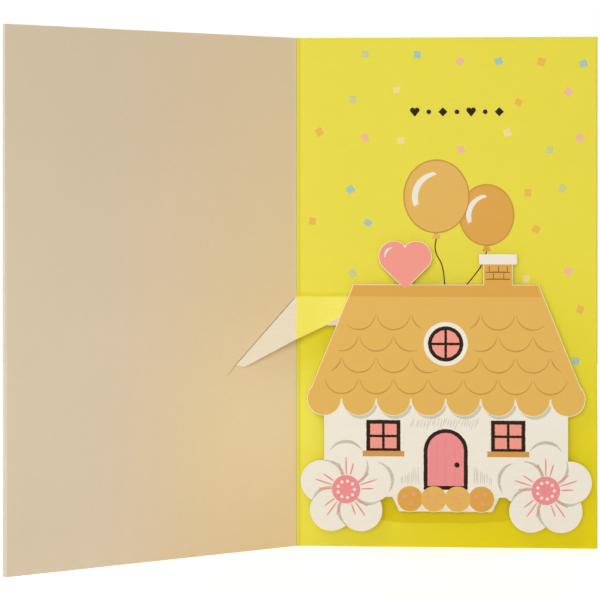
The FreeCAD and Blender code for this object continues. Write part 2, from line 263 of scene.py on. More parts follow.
def make_paper_grain() -> bpy.types.NodeTree:
    """Build the group for paper: fine fibres, slow clouding and the height of the tooth.

    Returns:
        The group, with its sizes in millimetres.
    """
    graph = new_group(
        "paper_grain",
        {"Fibre Size": ("NodeSocketFloat", 0.4), "Cloud Size": ("NodeSocketFloat", 30.0)},
        {"Fleck": "NodeSocketFloat", "Cloud": "NodeSocketFloat", "Height": "NodeSocketFloat"},
    )
    given, result = graph.tree.nodes["in"], graph.tree.nodes["out"]
    coordinates = graph.node("ShaderNodeTexCoord").outputs["Object"]
    fine = graph.node("ShaderNodeTexNoise")
    fine.inputs["Detail"].default_value = TOOTH_DETAIL
    graph.feed(fine.inputs["Vector"], coordinates)
    graph.feed(fine.inputs["Scale"], graph.maths("DIVIDE", 1 / MM, given.outputs["Fibre Size"]))
    drawn_out = graph.node("ShaderNodeMapping")
    drawn_out.inputs["Scale"].default_value = FIBRE_STRETCH
    drawn_out.inputs["Rotation"].default_value = (0.0, FIBRE_LEAN, 0.0)
    graph.feed(drawn_out.inputs["Vector"], coordinates)
    fibres = graph.node("ShaderNodeTexNoise")
    fibres.inputs["Detail"].default_value = FIBRE_DETAIL
    graph.feed(fibres.inputs["Vector"], drawn_out.outputs[0])
    graph.feed(fibres.inputs["Scale"], graph.maths("DIVIDE", FIBRE_COARSE / MM, given.outputs["Fibre Size"]))
    cloud = graph.node("ShaderNodeTexNoise")
    cloud.inputs["Detail"].default_value = CLOUD_DETAIL
    graph.feed(cloud.inputs["Vector"], coordinates)
    graph.feed(cloud.inputs["Scale"], graph.maths("DIVIDE", 1 / MM, given.outputs["Cloud Size"]))
    graph.feed(result.inputs["Fleck"], fibres.outputs[0])
    graph.feed(result.inputs["Cloud"], cloud.outputs[0])
    both = graph.maths("ADD", fine.outputs[0], fibres.outputs[0])
    graph.feed(result.inputs["Height"], graph.maths("MULTIPLY", both, 0.5))
    return graph.tree


def make_paper_specks() -> bpy.types.NodeTree:
    """Build the group for the few dark specks that lie in the pulp of a sheet.

    Returns:
        The group, with its sizes in millimetres.
    """
    graph = new_group(
        "paper_specks",
        {
            "Spacing": ("NodeSocketFloat", 14.0),
            "Radius": ("NodeSocketFloat", 0.35),
            "Rarity": ("NodeSocketFloat", 0.6),
        },
        {"Mask": "NodeSocketFloat"},
    )
    given, result = graph.tree.nodes["in"], graph.tree.nodes["out"]
    across, _, up = graph.place()
    flat = graph.node("ShaderNodeCombineXYZ")
    graph.feed(flat.inputs["X"], across)
    graph.feed(flat.inputs["Y"], up)
    cells = graph.node("ShaderNodeTexVoronoi", voronoi_dimensions="2D")
    graph.feed(cells.inputs["Vector"], flat.outputs[0])
    graph.feed(cells.inputs["Scale"], graph.maths("DIVIDE", 1.0, given.outputs["Spacing"]))
    away = graph.maths("MULTIPLY", cells.outputs["Distance"], given.outputs["Spacing"])
    share = graph.maths("DIVIDE", away, given.outputs["Radius"])
    spot = graph.inverse(graph.ramp(share, *SPECK_EDGE))
    chance = graph.node("ShaderNodeSeparateXYZ")
    graph.feed(chance.inputs[0], cells.outputs["Color"])
    chosen = graph.maths("GREATER_THAN", chance.outputs["X"], given.outputs["Rarity"])
    graph.feed(result.inputs["Mask"], graph.product(spot, chosen, chance.outputs["Y"]))
    return graph.tree


def make_ink_coat() -> bpy.types.NodeTree:
    """Build the group that lets a colour drift with the paper's fibres and clouding.

    Returns:
        The group.
    """
    graph = new_group(
        "ink_coat",
        {
            "Colour": ("NodeSocketColor", (1.0, 1.0, 1.0, 1.0)),
            "Fleck": ("NodeSocketFloat", 0.5),
            "Cloud": ("NodeSocketFloat", 0.5),
            "Fleck Share": ("NodeSocketFloat", 0.03),
            "Cloud Share": ("NodeSocketFloat", 0.03),
        },
        {"Colour": "NodeSocketColor"},
    )
    given, result = graph.tree.nodes["in"], graph.tree.nodes["out"]
    parts = []
    for source in ("Fleck", "Cloud"):
        centred = graph.maths("SUBTRACT", given.outputs[source], 0.5)
        parts.append(graph.maths("MULTIPLY", centred, given.outputs[f"{source} Share"]))
    drift = graph.maths("ADD", 1.0, graph.maths("ADD", parts[0], parts[1]))
    scaled = graph.node("ShaderNodeVectorMath", operation="SCALE")
    graph.feed(scaled.inputs[0], given.outputs["Colour"])
    graph.feed(scaled.inputs["Scale"], drift)
    graph.feed(result.inputs["Colour"], scaled.outputs[0])
    return graph.tree


def make_line_mask() -> bpy.types.NodeTree:
    """Build the group for a straight crease or band: 1 on the line, fading to 0 at its half width.

    Returns:
        The group, with its sizes in millimetres.
    """
    graph = new_group(
        "line_mask",
        {
            "Along": ("NodeSocketFloat", 0.0),
            "Middle": ("NodeSocketFloat", 0.0),
            "Half Width": ("NodeSocketFloat", 1.0),
        },
        {"Mask": "NodeSocketFloat"},
    )
    given, result = graph.tree.nodes["in"], graph.tree.nodes["out"]
    away = graph.maths("ABSOLUTE", graph.maths("SUBTRACT", given.outputs["Along"], given.outputs["Middle"]))
    share = graph.maths("DIVIDE", away, given.outputs["Half Width"])
    graph.feed(result.inputs["Mask"], graph.inverse(graph.ramp(share, 0.0, 1.0)))
    return graph.tree


def make_sheet_sides() -> bpy.types.NodeTree:
    """Build the group that tells a sheet's printed side and its back from its cut edges, by the true normal.

    Returns:
        The group.
    """
    graph = new_group("sheet_sides", {}, {"Front": "NodeSocketFloat", "Back": "NodeSocketFloat"})
    result = graph.tree.nodes["out"]
    split = graph.node("ShaderNodeSeparateXYZ")
    graph.feed(split.inputs[0], graph.node("ShaderNodeNewGeometry").outputs["True Normal"])
    toward_reader = graph.maths("MULTIPLY", split.outputs["Y"], -1.0)
    graph.feed(result.inputs["Front"], graph.ramp(toward_reader, *SIDE_EDGE))
    graph.feed(result.inputs["Back"], graph.ramp(split.outputs["Y"], *SIDE_EDGE))
    return graph.tree


@dataclass(frozen=True)
class Fade:
    """A smooth change along one direction of a sheet.

    Attributes:
        low: where it starts, in millimetres.
        high: where it is full, in millimetres.
        share: its value where it is full.
    """

    low: float
    high: float
    share: float = 1.0

    def mask(self, graph: Graph, along: object, start: float = 0.0) -> bpy.types.NodeSocket:
        """Mask the change.

        Args:
            graph: the material's graph.
            along: the output that gives the place along the direction.
            start: where the direction's zero lies for this change.

        Returns:
            The mask, which rises from 0 to the share.
        """
        return graph.maths("MULTIPLY", graph.ramp(along, start + self.low, start + self.high), self.share)

    def rest(self, graph: Graph, along: object) -> bpy.types.NodeSocket:
        """Return the opposite mask, which falls from 1."""
        return graph.inverse(self.mask(graph, along))


@dataclass(frozen=True)
class Band:
    """A soft band across one direction of a sheet.

    Attributes:
        middle: its middle, in millimetres.
        half: its half width, in millimetres.
        share: its value in the middle.
    """

    middle: float
    half: float
    share: float = 1.0

    def mask(self, graph: Graph, along: object, start: float = 0.0) -> bpy.types.NodeSocket:
        """Mask the band.

        Args:
            graph: the material's graph.
            along: the output that gives the place along the direction.
            start: where the direction's zero lies for this band.

        Returns:
            The mask.
        """
        return graph.maths("MULTIPLY", graph.line(along, start + self.middle, self.half), self.share)


@dataclass(frozen=True)
class Specks:
    """The few dark specks in a sheet's pulp.

    Attributes:
        spacing: distance between two places where one may lie, in millimetres.
        radius: a speck's radius, in millimetres.
        rarity: share of the places that have none.
        share: how strongly the darkest one shows.
        colour: their colour, as 8-bit sRGB.
    """

    spacing: float
    radius: float
    rarity: float
    share: float
    colour: Colour

    def over(self, graph: Graph, colour: object) -> bpy.types.NodeSocket:
        """Strew the specks over a colour.

        Args:
            graph: the material's graph.
            colour: the output that gives the colour.

        Returns:
            The output that gives the colour with the specks.
        """
        made = graph.group(PAPER_SPECKS, Spacing=self.spacing, Radius=self.radius, Rarity=self.rarity)
        shown = graph.maths("MULTIPLY", made.outputs["Mask"], self.share)
        return graph.mixed(shown, colour, rgba(self.colour))


PAPER_GRAIN = make_paper_grain()
PAPER_SPECKS = make_paper_specks()
INK_COAT = make_ink_coat()
LINE_MASK = make_line_mask()
SHEET_SIDES = make_sheet_sides()


# Finishes.


@dataclass(frozen=True)
class Ink:
    """A printed or bare paper colour, and how it lies on the paper.

    Attributes:
        name: the finish's own name.
        colour: its colour in plain daylight, as 8-bit sRGB.
        fleck: how much the fibres show in the colour.
        cloud: how much the colour drifts over a few centimetres.
        roughness: the mean roughness.
        tooth: depth of the paper's surface, in millimetres.
        fibre: size of the fibres, in millimetres.
        shine: the surface's specular level.
        relief: how strongly the tooth catches light.
        groove: depth of a pressed line, as a multiple of the tooth.
        drift: how much the roughness varies.
    """

    name: str
    colour: Colour
    fleck: float = 0.05
    cloud: float = 0.04
    roughness: float = 0.62
    tooth: float = 0.006
    fibre: float = 0.45
    shine: float = 0.45
    relief: float = 0.6
    groove: float = 4.0
    drift: float = 0.1

    def material(self) -> bpy.types.Material:
        """Find the plain material of this ink, or build it at its first use.

        Returns:
            The material.
        """
        made = bpy.data.materials.get(self.name)
        if made is None:
            made = bpy.data.materials.new(self.name)
            made.use_nodes = True
            self.dress(Graph(made.node_tree), rgba(self.colour))
        return made

    def dress(self, graph: Graph, colour: object, groove: object = None) -> None:
        """Finish a material's graph: paper grain over a colour, with an optional pressed groove.

        Args:
            graph: the material's graph.
            colour: a colour or the output that gives it.
            groove: an output that is 1 at the bottom of a groove, or None.
        """
        grain = graph.group(PAPER_GRAIN, Fibre_Size=self.fibre)
        coat = graph.group(
            INK_COAT,
            Colour=colour,
            Fleck=grain.outputs["Fleck"],
            Cloud=grain.outputs["Cloud"],
            Fleck_Share=self.fleck,
            Cloud_Share=self.cloud,
        )
        height = grain.outputs["Height"]
        if groove is not None:
            height = graph.maths("SUBTRACT", height, graph.maths("MULTIPLY", groove, self.groove))
        bump = graph.node("ShaderNodeBump")
        bump.inputs["Strength"].default_value = self.relief
        bump.inputs["Distance"].default_value = self.tooth * MM
        graph.feed(bump.inputs["Height"], height)
        varied = graph.maths("MULTIPLY", grain.outputs["Cloud"], self.drift)
        gloss = graph.maths("ADD", self.roughness - self.drift / 2, varied)
        surface = graph.node("ShaderNodeBsdfPrincipled")
        surface.inputs["Specular IOR Level"].default_value = self.shine
        graph.feed(surface.inputs["Base Color"], coat.outputs["Colour"])
        graph.feed(surface.inputs["Roughness"], gloss)
        graph.feed(surface.inputs["Normal"], bump.outputs[0])
        graph.feed(graph.node("ShaderNodeOutputMaterial").inputs["Surface"], surface.outputs[0])


YELLOW = Ink("page_yellow", (238, 226, 76), shine=0.15)
# A printed ground under the house, also a painted shadow of the figure.
GROUND_SHADOW_YELLOW = Ink("ground_shadow_yellow", (226, 204, 12), shine=0.15)
BARE = Ink("bare_board", (240, 234, 216), fleck=0.08, roughness=0.75, tooth=0.01, shine=0.2)
CUT_EDGE = Ink("cut_edge", (250, 244, 222), fleck=0.10, roughness=0.8, tooth=0.01, shine=0.2)
TAN = Ink("roof_tan", (228, 180, 83))
DEEP_TAN = Ink("deep_tan", (207, 150, 66))
ORANGE = Ink("bush_orange", (222, 163, 62))
CREAM = Ink("wall_cream", (243, 237, 224))
BROWN = Ink("line_brown", (46, 31, 17), fleck=0.6, roughness=0.7, shine=0.1)
PINK = Ink("heart_pink", (243, 152, 138))
ROSE = Ink("door_rose", (240, 140, 145))
PENCIL = Ink("pencil_grey", (206, 201, 180), fleck=0.2)
CRAYON = Ink("crayon_grey", (197, 193, 174), fleck=0.6)
CONFETTI_INKS = (
    Ink("confetti_pink", (238, 186, 162)),
    Ink("confetti_cream", (243, 223, 148)),
    Ink("confetti_orange", (237, 183, 72)),
    Ink("confetti_green", (199, 208, 142)),
    Ink("confetti_blue", (160, 199, 190)),
)


# The card's own sheets.


@dataclass(frozen=True)
class CardStock:
    """Thicknesses and folds of the sheets, in millimetres, as the construction has them.

    Attributes:
        cover: thickness of the cover.
        bond: the gap between the cover and the inner page.
        liner: thickness of the inner page.
        gutter: x of the inner page's fold.
        strip_crease: x of the strip's crease.
        hinge_height: height of the level bend over the strip.
        opening: the angle between the pages, in degrees.
    """

    cover: float = 0.35
    bond: float = 0.40
    liner: float = 0.25
    gutter: float = 0.211
    strip_crease: float = 0.275
    hinge_height: float = 87.3
    opening: float = 151.3

    def page_face(self) -> float:
        """Return y of the right page's printed face, counted from the cover's outside."""
        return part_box("cover")[1].y / MM - (self.cover + self.bond + self.liner)


def fresh_graph(node: str) -> Graph:
    """Give a sheet from the construction one empty material of its own.

    Args:
        node: the sheet's name.

    Returns:
        The material's graph.
    """
    material = bpy.data.materials.new(f"{node}_finish")
    material.use_nodes = True
    slots = frame["nodes"][node].data.materials
    for index in range(len(slots)):
        slots[index] = material
    if not slots:
        slots.append(material)
    return Graph(material.node_tree)


class Finish(Protocol):
    """What each sheet's finish can do."""

    def dress(self) -> str:
        """Give the sheet its material and return the sheet's name."""


@dataclass(frozen=True)
class CoverFinish:
    """Cover: uncoated white board with a few specks, paler along the fold and printed at one rim.

    Attributes:
        stock: the sheets' sizes.
        board: the board's colour, as 8-bit sRGB.
        pressed: its colour along the fold.
        ridge: the pressed fold.
        specks: the specks in the board.
        print_bleed: the print's colour on the rim beside the right page.
        bleed: where that print starts, out from the fold.
    """

    stock: CardStock
    board: Colour = (240, 234, 218)
    pressed: Colour = (247, 243, 232)
    ridge: Band = Band(0.0, 1.2)
    specks: Specks = Specks(spacing=15.0, radius=0.3, rarity=0.6, share=0.25, colour=(176, 160, 132))
    print_bleed: Colour = (230, 215, 72)
    bleed: Fade = Fade(104.2, 104.3, 0.9)

    def dress(self) -> str:
        """Dress the cover.

        Returns:
            The sheet's name.
        """
        graph = fresh_graph("cover")
        across, _, _ = graph.place()
        ridge = self.ridge.mask(graph, across)
        colour = graph.mixed(ridge, rgba(self.board), rgba(self.pressed))
        front = graph.group(SHEET_SIDES).outputs["Front"]
        printed = graph.product(front, self.bleed.mask(graph, across))
        colour = graph.mixed(printed, self.specks.over(graph, colour), rgba(self.print_bleed))
        BARE.dress(graph, colour, ridge)
        return "cover"


@dataclass(frozen=True)
class PageFinish:
    """Inner page: a cream left leaf, a yellow right leaf, a pressed fold and a pale cut edge, with painted
    light and painted shade mixed into the colours of both leaves.

    Colours are 8-bit sRGB. Places are millimetres: across from the fold, up from the foot, and out from the
    fold along the left leaf.

    Attributes:
        stock: the sheets' sizes.
        leaf_low: the left leaf near its foot.
        leaf_top: the left leaf near its top, darker: painted shade.
        leaf_upward: the change between the two, a painted shade that darkens the leaf upward.
        leaf_fold_bounce: the left leaf beside the fold, warmer: painted light bounced from the yellow leaf.
        leaf_inward: the change towards it.
        top_loss: how much of that painted light is lost at the top.
        leaf_painted_light: the palest place of the left leaf, low beside the fold: a painted pool of light.
        leaf_reach: its reach from the fold.
        page_painted_light: the palest place of the right leaf, low beside the fold: a painted pool of light.
        page_reach: its reach from the fold.
        painted_light_height: the height of both painted pools of light.
        page_painted_shade: the deeper yellow of the right leaf, a painted shade.
        corner_upward: how that painted shade fades upward from the lower outer corner.
        corner_outward: how it grows towards that corner.
        free_edge: how it grows towards the free edge.
        strip_shade_upward: how the painted shade grows upward under the strip.
        strip_shade_outward: how that shade fades outward from under the strip.
        leaf_rim_highlight: the left leaf's pale rim, a painted highlight along its outer edge.
        rim_outward: where the rim starts, out from the fold.
        rim_upward: how that highlight fades upward.
        fold_pale: the line left of the fold.
        left_line: where that line lies, counted from the gutter.
        fold_side_shade: the darker line right of the fold, a painted shade.
        right_line: where that line lies, counted from the gutter.
        fold_painted_shade: the bottom of the fold, a painted shade.
        groove: where that bottom lies, counted from the gutter.
        groove_share: how strongly it shows.
        change: where cream turns into yellow, counted from the gutter.
        bend_painted_shade: the level bend over the strip, a painted shade.
        bend: where the bend lies, counted from the hinge's height.
        bend_end: where it ends.
        bend_share: how strongly it shows.
        cut_painted_shadow: the slanted cut beside the strip, a painted shadow of its gap.
        cut: where the cut lies, counted from the hinge's height along the slant.
        cut_start: where it starts, out from the fold.
        cut_end: where it ends.
        specks: the specks of the left leaf.
    """

    stock: CardStock
    leaf_low: Colour = (231, 214, 188)
    leaf_top: Colour = (222, 204, 176)
    leaf_upward: Fade = Fade(20.0, 180.0)
    leaf_fold_bounce: Colour = (237, 210, 160)
    leaf_inward: Fade = Fade(-75.0, 0.0)
    top_loss: float = 0.6
    leaf_painted_light: Colour = (250, 227, 180)
    leaf_reach: Band = Band(0.0, 62.0, 0.8)
    page_painted_light: Colour = (247, 240, 90)
    page_reach: Band = Band(0.0, 22.0, 0.7)
    painted_light_height: Band = Band(41.0, 52.0)
    page_painted_shade: Colour = (235, 217, 5)
    corner_upward: Fade = Fade(2.0, 118.0)
    corner_outward: Fade = Fade(-20.0, 70.0, 0.85)
    free_edge: Fade = Fade(30.0, 105.0, 0.12)
    strip_shade_upward: Fade = Fade(44.0, 70.0, 0.9)
    strip_shade_outward: Fade = Fade(18.0, 34.0)
    leaf_rim_highlight: Colour = (252, 243, 228)
    rim_outward: Fade = Fade(103.55, 104.2)
    rim_upward: Fade = Fade(-40.0, 170.0)
    fold_pale: Colour = (240, 220, 188)
    left_line: Band = Band(-0.75, 0.5, 0.55)
    fold_side_shade: Colour = (212, 200, 40)
    right_line: Band = Band(0.95, 0.75, 0.6)
    fold_painted_shade: Colour = (178, 160, 60)
    groove: Band = Band(0.05, 0.3)
    groove_share: float = 0.6
    change: Fade = Fade(-0.15, 0.05)
    bend_painted_shade: Colour = (226, 208, 14)
    bend: Band = Band(0.9, 1.1)
    bend_end: Fade = Fade(26.0, 38.0)
    bend_share: float = 0.5
    cut_painted_shadow: Colour = (140, 108, 72)
    cut: Band = Band(0.45, 0.5, 0.75)
    cut_start: float = 1.0
    cut_end: Fade = Fade(21.5, 27.0)
    specks: Specks = Specks(spacing=17.0, radius=0.35, rarity=0.7, share=0.2, colour=(150, 130, 96))

    def out_from_fold(self, graph: Graph, across: object) -> bpy.types.NodeSocket:
        """Work out how far a place on the left leaf lies from the fold, along the leaf.

        Args:
            graph: the material's graph.
            across: the output that gives x.

        Returns:
            The output that gives the distance.
        """
        swing = math.radians(180.0 - self.stock.opening)
        return graph.maths("DIVIDE", graph.maths("SUBTRACT", self.stock.gutter, across), math.cos(swing))

    def left_leaf(self, graph: Graph, across: object, up: object) -> bpy.types.NodeSocket:
        """Mix the colour of the left leaf.

        Args:
            graph: the material's graph.
            across: the output that gives x.
            up: the output that gives the height.

        Returns:
            The output that gives the colour.
        """
        out = self.out_from_fold(graph, across)
        # Painted shade: the left leaf darkens from its foot towards its top.
        upward = self.leaf_upward.mask(graph, up)
        # Painted light: a warm bounce from the yellow leaf on the left leaf beside the fold, weaker at the
        # top.
        low_down = graph.inverse(graph.maths("MULTIPLY", upward, self.top_loss))
        near_fold = graph.product(self.leaf_inward.mask(graph, across), low_down)
        # Painted light: a pool of light low on the left leaf beside the fold.
        glow = graph.product(self.leaf_reach.mask(graph, across), self.painted_light_height.mask(graph, up))
        # Painted highlight: a pale rim along the left leaf's outer edge, strongest low down.
        rim = graph.product(self.rim_outward.mask(graph, out), self.rim_upward.rest(graph, up))
        leaf = graph.mixed(upward, rgba(self.leaf_low), rgba(self.leaf_top))
        leaf = graph.mixed(near_fold, leaf, rgba(self.leaf_fold_bounce))
        leaf = graph.mixed(glow, leaf, rgba(self.leaf_painted_light))
        leaf = graph.mixed(rim, self.specks.over(graph, leaf), rgba(self.leaf_rim_highlight))
        # Painted shadow of the slanted cut's gap.
        leaf = graph.mixed(self.cut_line(graph, out, up), leaf, rgba(self.cut_painted_shadow))
        return graph.mixed(self.left_line.mask(graph, across, self.stock.gutter), leaf, rgba(self.fold_pale))

    def cut_line(self, graph: Graph, out: object, up: object) -> bpy.types.NodeSocket:
        """Mask the painted shadow of the cut beside the strip on the left leaf, which runs down from the fold
        at 45 degrees.

        Args:
            graph: the material's graph.
            out: the output that gives the distance from the fold.
            up: the output that gives the height.

        Returns:
            The mask.
        """
        line = self.cut.mask(graph, graph.maths("ADD", up, out), self.stock.hinge_height)
        begun = graph.maths("GREATER_THAN", out, self.cut_start)
        return graph.product(line, self.cut_end.rest(graph, out), begun)

    def right_leaf(self, graph: Graph, across: object, up: object) -> bpy.types.NodeSocket:
        """Mix the colour of the right leaf.

        Args:
            graph: the material's graph.
            across: the output that gives x.
            up: the output that gives the height.

        Returns:
            The output that gives the colour.
        """
        # Painted shade: the right leaf's yellow deepens towards its lower outer corner and its free edge.
        corner = graph.product(self.corner_upward.rest(graph, up), self.corner_outward.mask(graph, across))
        # Painted shade under the lifting strip.
        below = graph.maths("LESS_THAN", up, self.stock.hinge_height)
        beside = self.strip_shade_outward.rest(graph, across)
        strip_shade = graph.product(self.strip_shade_upward.mask(graph, up), below, beside)
        deep = graph.maths("MAXIMUM", graph.maths("ADD", corner, self.free_edge.mask(graph, across)), strip_shade)
        # Painted light: a pool of light low on the right leaf beside the fold.
        glow = graph.product(self.page_reach.mask(graph, across), self.painted_light_height.mask(graph, up))
        page = graph.mixed(deep, rgba(YELLOW.colour), rgba(self.page_painted_shade))
        page = graph.mixed(glow, page, rgba(self.page_painted_light))
        # Painted shade: a darker line right of the fold.
        return graph.mixed(self.right_line.mask(graph, across, self.stock.gutter), page, rgba(self.fold_side_shade))

    def dress(self) -> str:
        """Dress the inner page.

        Returns:
            The sheet's name.
        """
        graph = fresh_graph("inner_page")
        across, _, up = graph.place()
        right = self.change.mask(graph, across, self.stock.gutter)
        colour = graph.mixed(right, self.left_leaf(graph, across, up), self.right_leaf(graph, across, up))
        # Painted shade at the bottom of the fold; the same groove also presses the bump.
        groove = self.groove.mask(graph, across, self.stock.gutter)
        colour = graph.mixed(graph.maths("MULTIPLY", groove, self.groove_share), colour, rgba(self.fold_painted_shade))
        # Painted shade along the level bend over the strip; the same line also presses the bump.
        bend = self.bend.mask(graph, up, self.stock.hinge_height)
        pressed = graph.product(bend, right, self.bend_end.rest(graph, across))
        colour = graph.mixed(graph.maths("MULTIPLY", pressed, self.bend_share), colour, rgba(self.bend_painted_shade))
        sides = graph.group(SHEET_SIDES)
        colour = graph.mixed(sides.outputs["Front"], rgba(CUT_EDGE.colour), colour)
        YELLOW.dress(graph, colour, graph.maths("MAXIMUM", groove, pressed))
        return "inner_page"


@dataclass(frozen=True)
class StripFinish:
    """Lifting strip: printed like the pages on its front, with paler colours as painted light, and bare on
    its glued end and its back.

    Attributes:
        stock: the sheets' sizes.
        left_wing: colour of the wing on the left leaf, as 8-bit sRGB, paler than the leaf's cream as painted
            light.
        right_wing: colour of the wing on the right leaf, beside the crease, paler than the page's yellow as
            painted light.
        right_tip_light: its paler colour further out, painted light where the wing catches more light.
        tip_reach: where that colour is full, out from the fold.
        bare_end: colour of the glued end that isn't printed.
        bare_start: where that end starts, out from the fold, in millimetres.
        bare_foot: height of its slanted border where it starts.
        bare_slope: how fast the border rises outward.
        change: where cream turns into yellow, counted from the crease.
        groove: the pressed crease.
    """

    stock: CardStock
    left_wing: Colour = (242, 229, 205)
    right_wing: Colour = (249, 239, 98)
    right_tip_light: Colour = (253, 243, 114)
    tip_reach: float = 22.0
    bare_end: Colour = (239, 219, 198)
    bare_start: float = 10.4
    bare_foot: float = 77.9
    bare_slope: float = 0.55
    change: Fade = Fade(-0.06, 0.06)
    groove: Band = Band(0.0, 0.3)

    def dress(self) -> str:
        """Dress the strip.

        Returns:
            The sheet's name.
        """
        graph = fresh_graph("lifting_strip")
        across, _, up = graph.place()
        crease = self.stock.strip_crease
        right = self.change.mask(graph, across, crease)
        # Painted light: the right wing grows paler outward.
        outward = graph.ramp(across, crease, self.tip_reach)
        wing = graph.mixed(outward, rgba(self.right_wing), rgba(self.right_tip_light))
        printed = graph.mixed(right, rgba(self.left_wing), wing)
        out = graph.maths("SUBTRACT", across, self.bare_start)
        limit = graph.maths("ADD", graph.maths("MULTIPLY", out, self.bare_slope), self.bare_foot)
        on_end = graph.product(graph.maths("LESS_THAN", up, limit), graph.maths("GREATER_THAN", out, 0.0))
        printed = graph.mixed(on_end, printed, rgba(self.bare_end))
        sides = graph.group(SHEET_SIDES)
        colour = graph.mixed(sides.outputs["Front"], rgba(BARE.colour), printed)
        BARE.dress(graph, colour, self.groove.mask(graph, across, crease))
        return "lifting_strip"


@dataclass(frozen=True)
class SupportFinish:
    """Support leg: bare board."""

    def dress(self) -> str:
        """Dress the leg and return the sheet's name."""
        BARE.dress(fresh_graph("support_leg"), rgba(BARE.colour))
        return "support_leg"


@dataclass(frozen=True)
class FigureFinish:
    """Figure's board: a pale rim round the print, a pale cut edge and a bare back."""

    def dress(self) -> str:
        """Dress the figure's board.

        Returns:
            The sheet's name.
        """
        graph = fresh_graph("figure")
        sides = graph.group(SHEET_SIDES)
        BARE.dress(graph, graph.mixed(sides.outputs["Back"], rgba(CUT_EDGE.colour), rgba(BARE.colour)))
        return "figure"


# Drawing tools. A print is drawn flat first, in millimetres: x to the right, y up and z out of the paper.

# A drawn line's thickness out of the paper, and how fast its ends swell to its full width.
LINE_BODY = 0.02
LINE_SWELL = 2.5


def settle(piece: bpy.types.Object) -> None:
    """Deselect everything, then select one piece and make it active.

    Args:
        piece: the piece.
    """
    bpy.ops.object.select_all(action="DESELECT")
    piece.select_set(True)
    bpy.context.view_layer.objects.active = piece


def gathered(pieces: list[bpy.types.Object]) -> bpy.types.Object:
    """Join prints of one kind into one piece.

    Args:
        pieces: the prints, all flat or all laid on one face.

    Returns:
        The joined piece.
    """
    settle(pieces[0])
    for piece in pieces:
        piece.select_set(True)
    if len(pieces) > 1:
        bpy.ops.object.join()
    return bpy.context.object


def arc(centre: Point, radius: float, start: float, end: float, steps: int = 12) -> Outline:
    """Return points on an arc, from one angle to another in degrees."""
    angles = [math.radians(start + (end - start) * step / steps) for step in range(steps + 1)]
    return [(centre[0] + radius * math.cos(angle), centre[1] + radius * math.sin(angle)) for angle in angles]


def ring(radii: Point, steps: int = 48) -> Outline:
    """Return points all round an oval about the drawing's zero."""
    angles = [2 * math.pi * step / steps for step in range(steps)]
    return [(radii[0] * math.cos(angle), radii[1] * math.sin(angle)) for angle in angles]


def box_outline(left: float, low: float, right: float, high: float) -> Outline:
    """Return a rectangle's corners."""
    return [(left, low), (right, low), (right, high), (left, high)]


def drawn(outline: Outline, seed: int, shake: float = 0.07, step: float = 0.35) -> Outline:
    """Turn a clean closed outline into one that a crayon draws, with a slightly ragged edge.

    Args:
        outline: the clean outline's points.
        seed: which hand draws it.
        shake: how far the edge strays, in millimetres.
        step: distance between two strays, in millimetres.

    Returns:
        The ragged outline's points.
    """
    hand = random.Random(SEED * 100 + seed)
    points = []
    for here, there in zip(outline, outline[1:] + outline[:1]):
        parts = max(1, round(math.dist(here, there) / step))
        for part in range(parts):
            share = part / parts
            x = here[0] + (there[0] - here[0]) * share + hand.uniform(-shake, shake)
            y = here[1] + (there[1] - here[1]) * share + hand.uniform(-shake, shake)
            points.append((x, y))
    return points


def thicken(piece: bpy.types.Object, height: float) -> None:
    """Extrude a flat face out of the paper into a closed solid.

    Args:
        piece: the flat face.
        height: its new thickness, in millimetres.
    """
    settle(piece)
    bpy.ops.object.mode_set(mode="EDIT")
    bpy.ops.mesh.select_all(action="SELECT")
    bpy.ops.mesh.extrude_region_move(TRANSFORM_OT_translate={"value": (0.0, 0.0, height)})
    bpy.ops.mesh.select_all(action="SELECT")
    bpy.ops.mesh.normals_make_consistent(inside=False)
    bpy.ops.object.mode_set(mode="OBJECT")


def disc(radii: Point, height: float, corners: int = 40) -> bpy.types.Object:
    """Draw a filled disc or oval about the drawing's zero.

    Args:
        radii: its half width and half height.
        height: its thickness.
        corners: how many sides its outline has.

    Returns:
        The flat print.
    """
    bpy.ops.object.select_all(action="DESELECT")
    bpy.ops.mesh.primitive_circle_add(vertices=corners, radius=1.0, fill_type="NGON")
    piece = bpy.context.object
    piece.scale = (radii[0], radii[1], 1.0)
    bpy.ops.object.transform_apply(location=False, rotation=False, scale=True)
    thicken(piece, height)
    return piece


def tile(size: Point, height: float, corner: float = 0.0) -> bpy.types.Object:
    """Draw a filled rectangle about the drawing's zero.

    Args:
        size: its width and height.
        height: its thickness.
        corner: how much its corners are rounded.

    Returns:
        The flat print.
    """
    bpy.ops.object.select_all(action="DESELECT")
    bpy.ops.mesh.primitive_plane_add(size=1.0)
    piece = bpy.context.object
    piece.scale = (size[0], size[1], 1.0)
    bpy.ops.object.transform_apply(location=False, rotation=False, scale=True)
    if corner > 0:
        bpy.ops.object.mode_set(mode="EDIT")
        bpy.ops.mesh.select_all(action="SELECT")
        bpy.ops.mesh.bevel(offset=corner, segments=3, affect="VERTICES")
        bpy.ops.object.mode_set(mode="OBJECT")
    thicken(piece, height)
    return piece


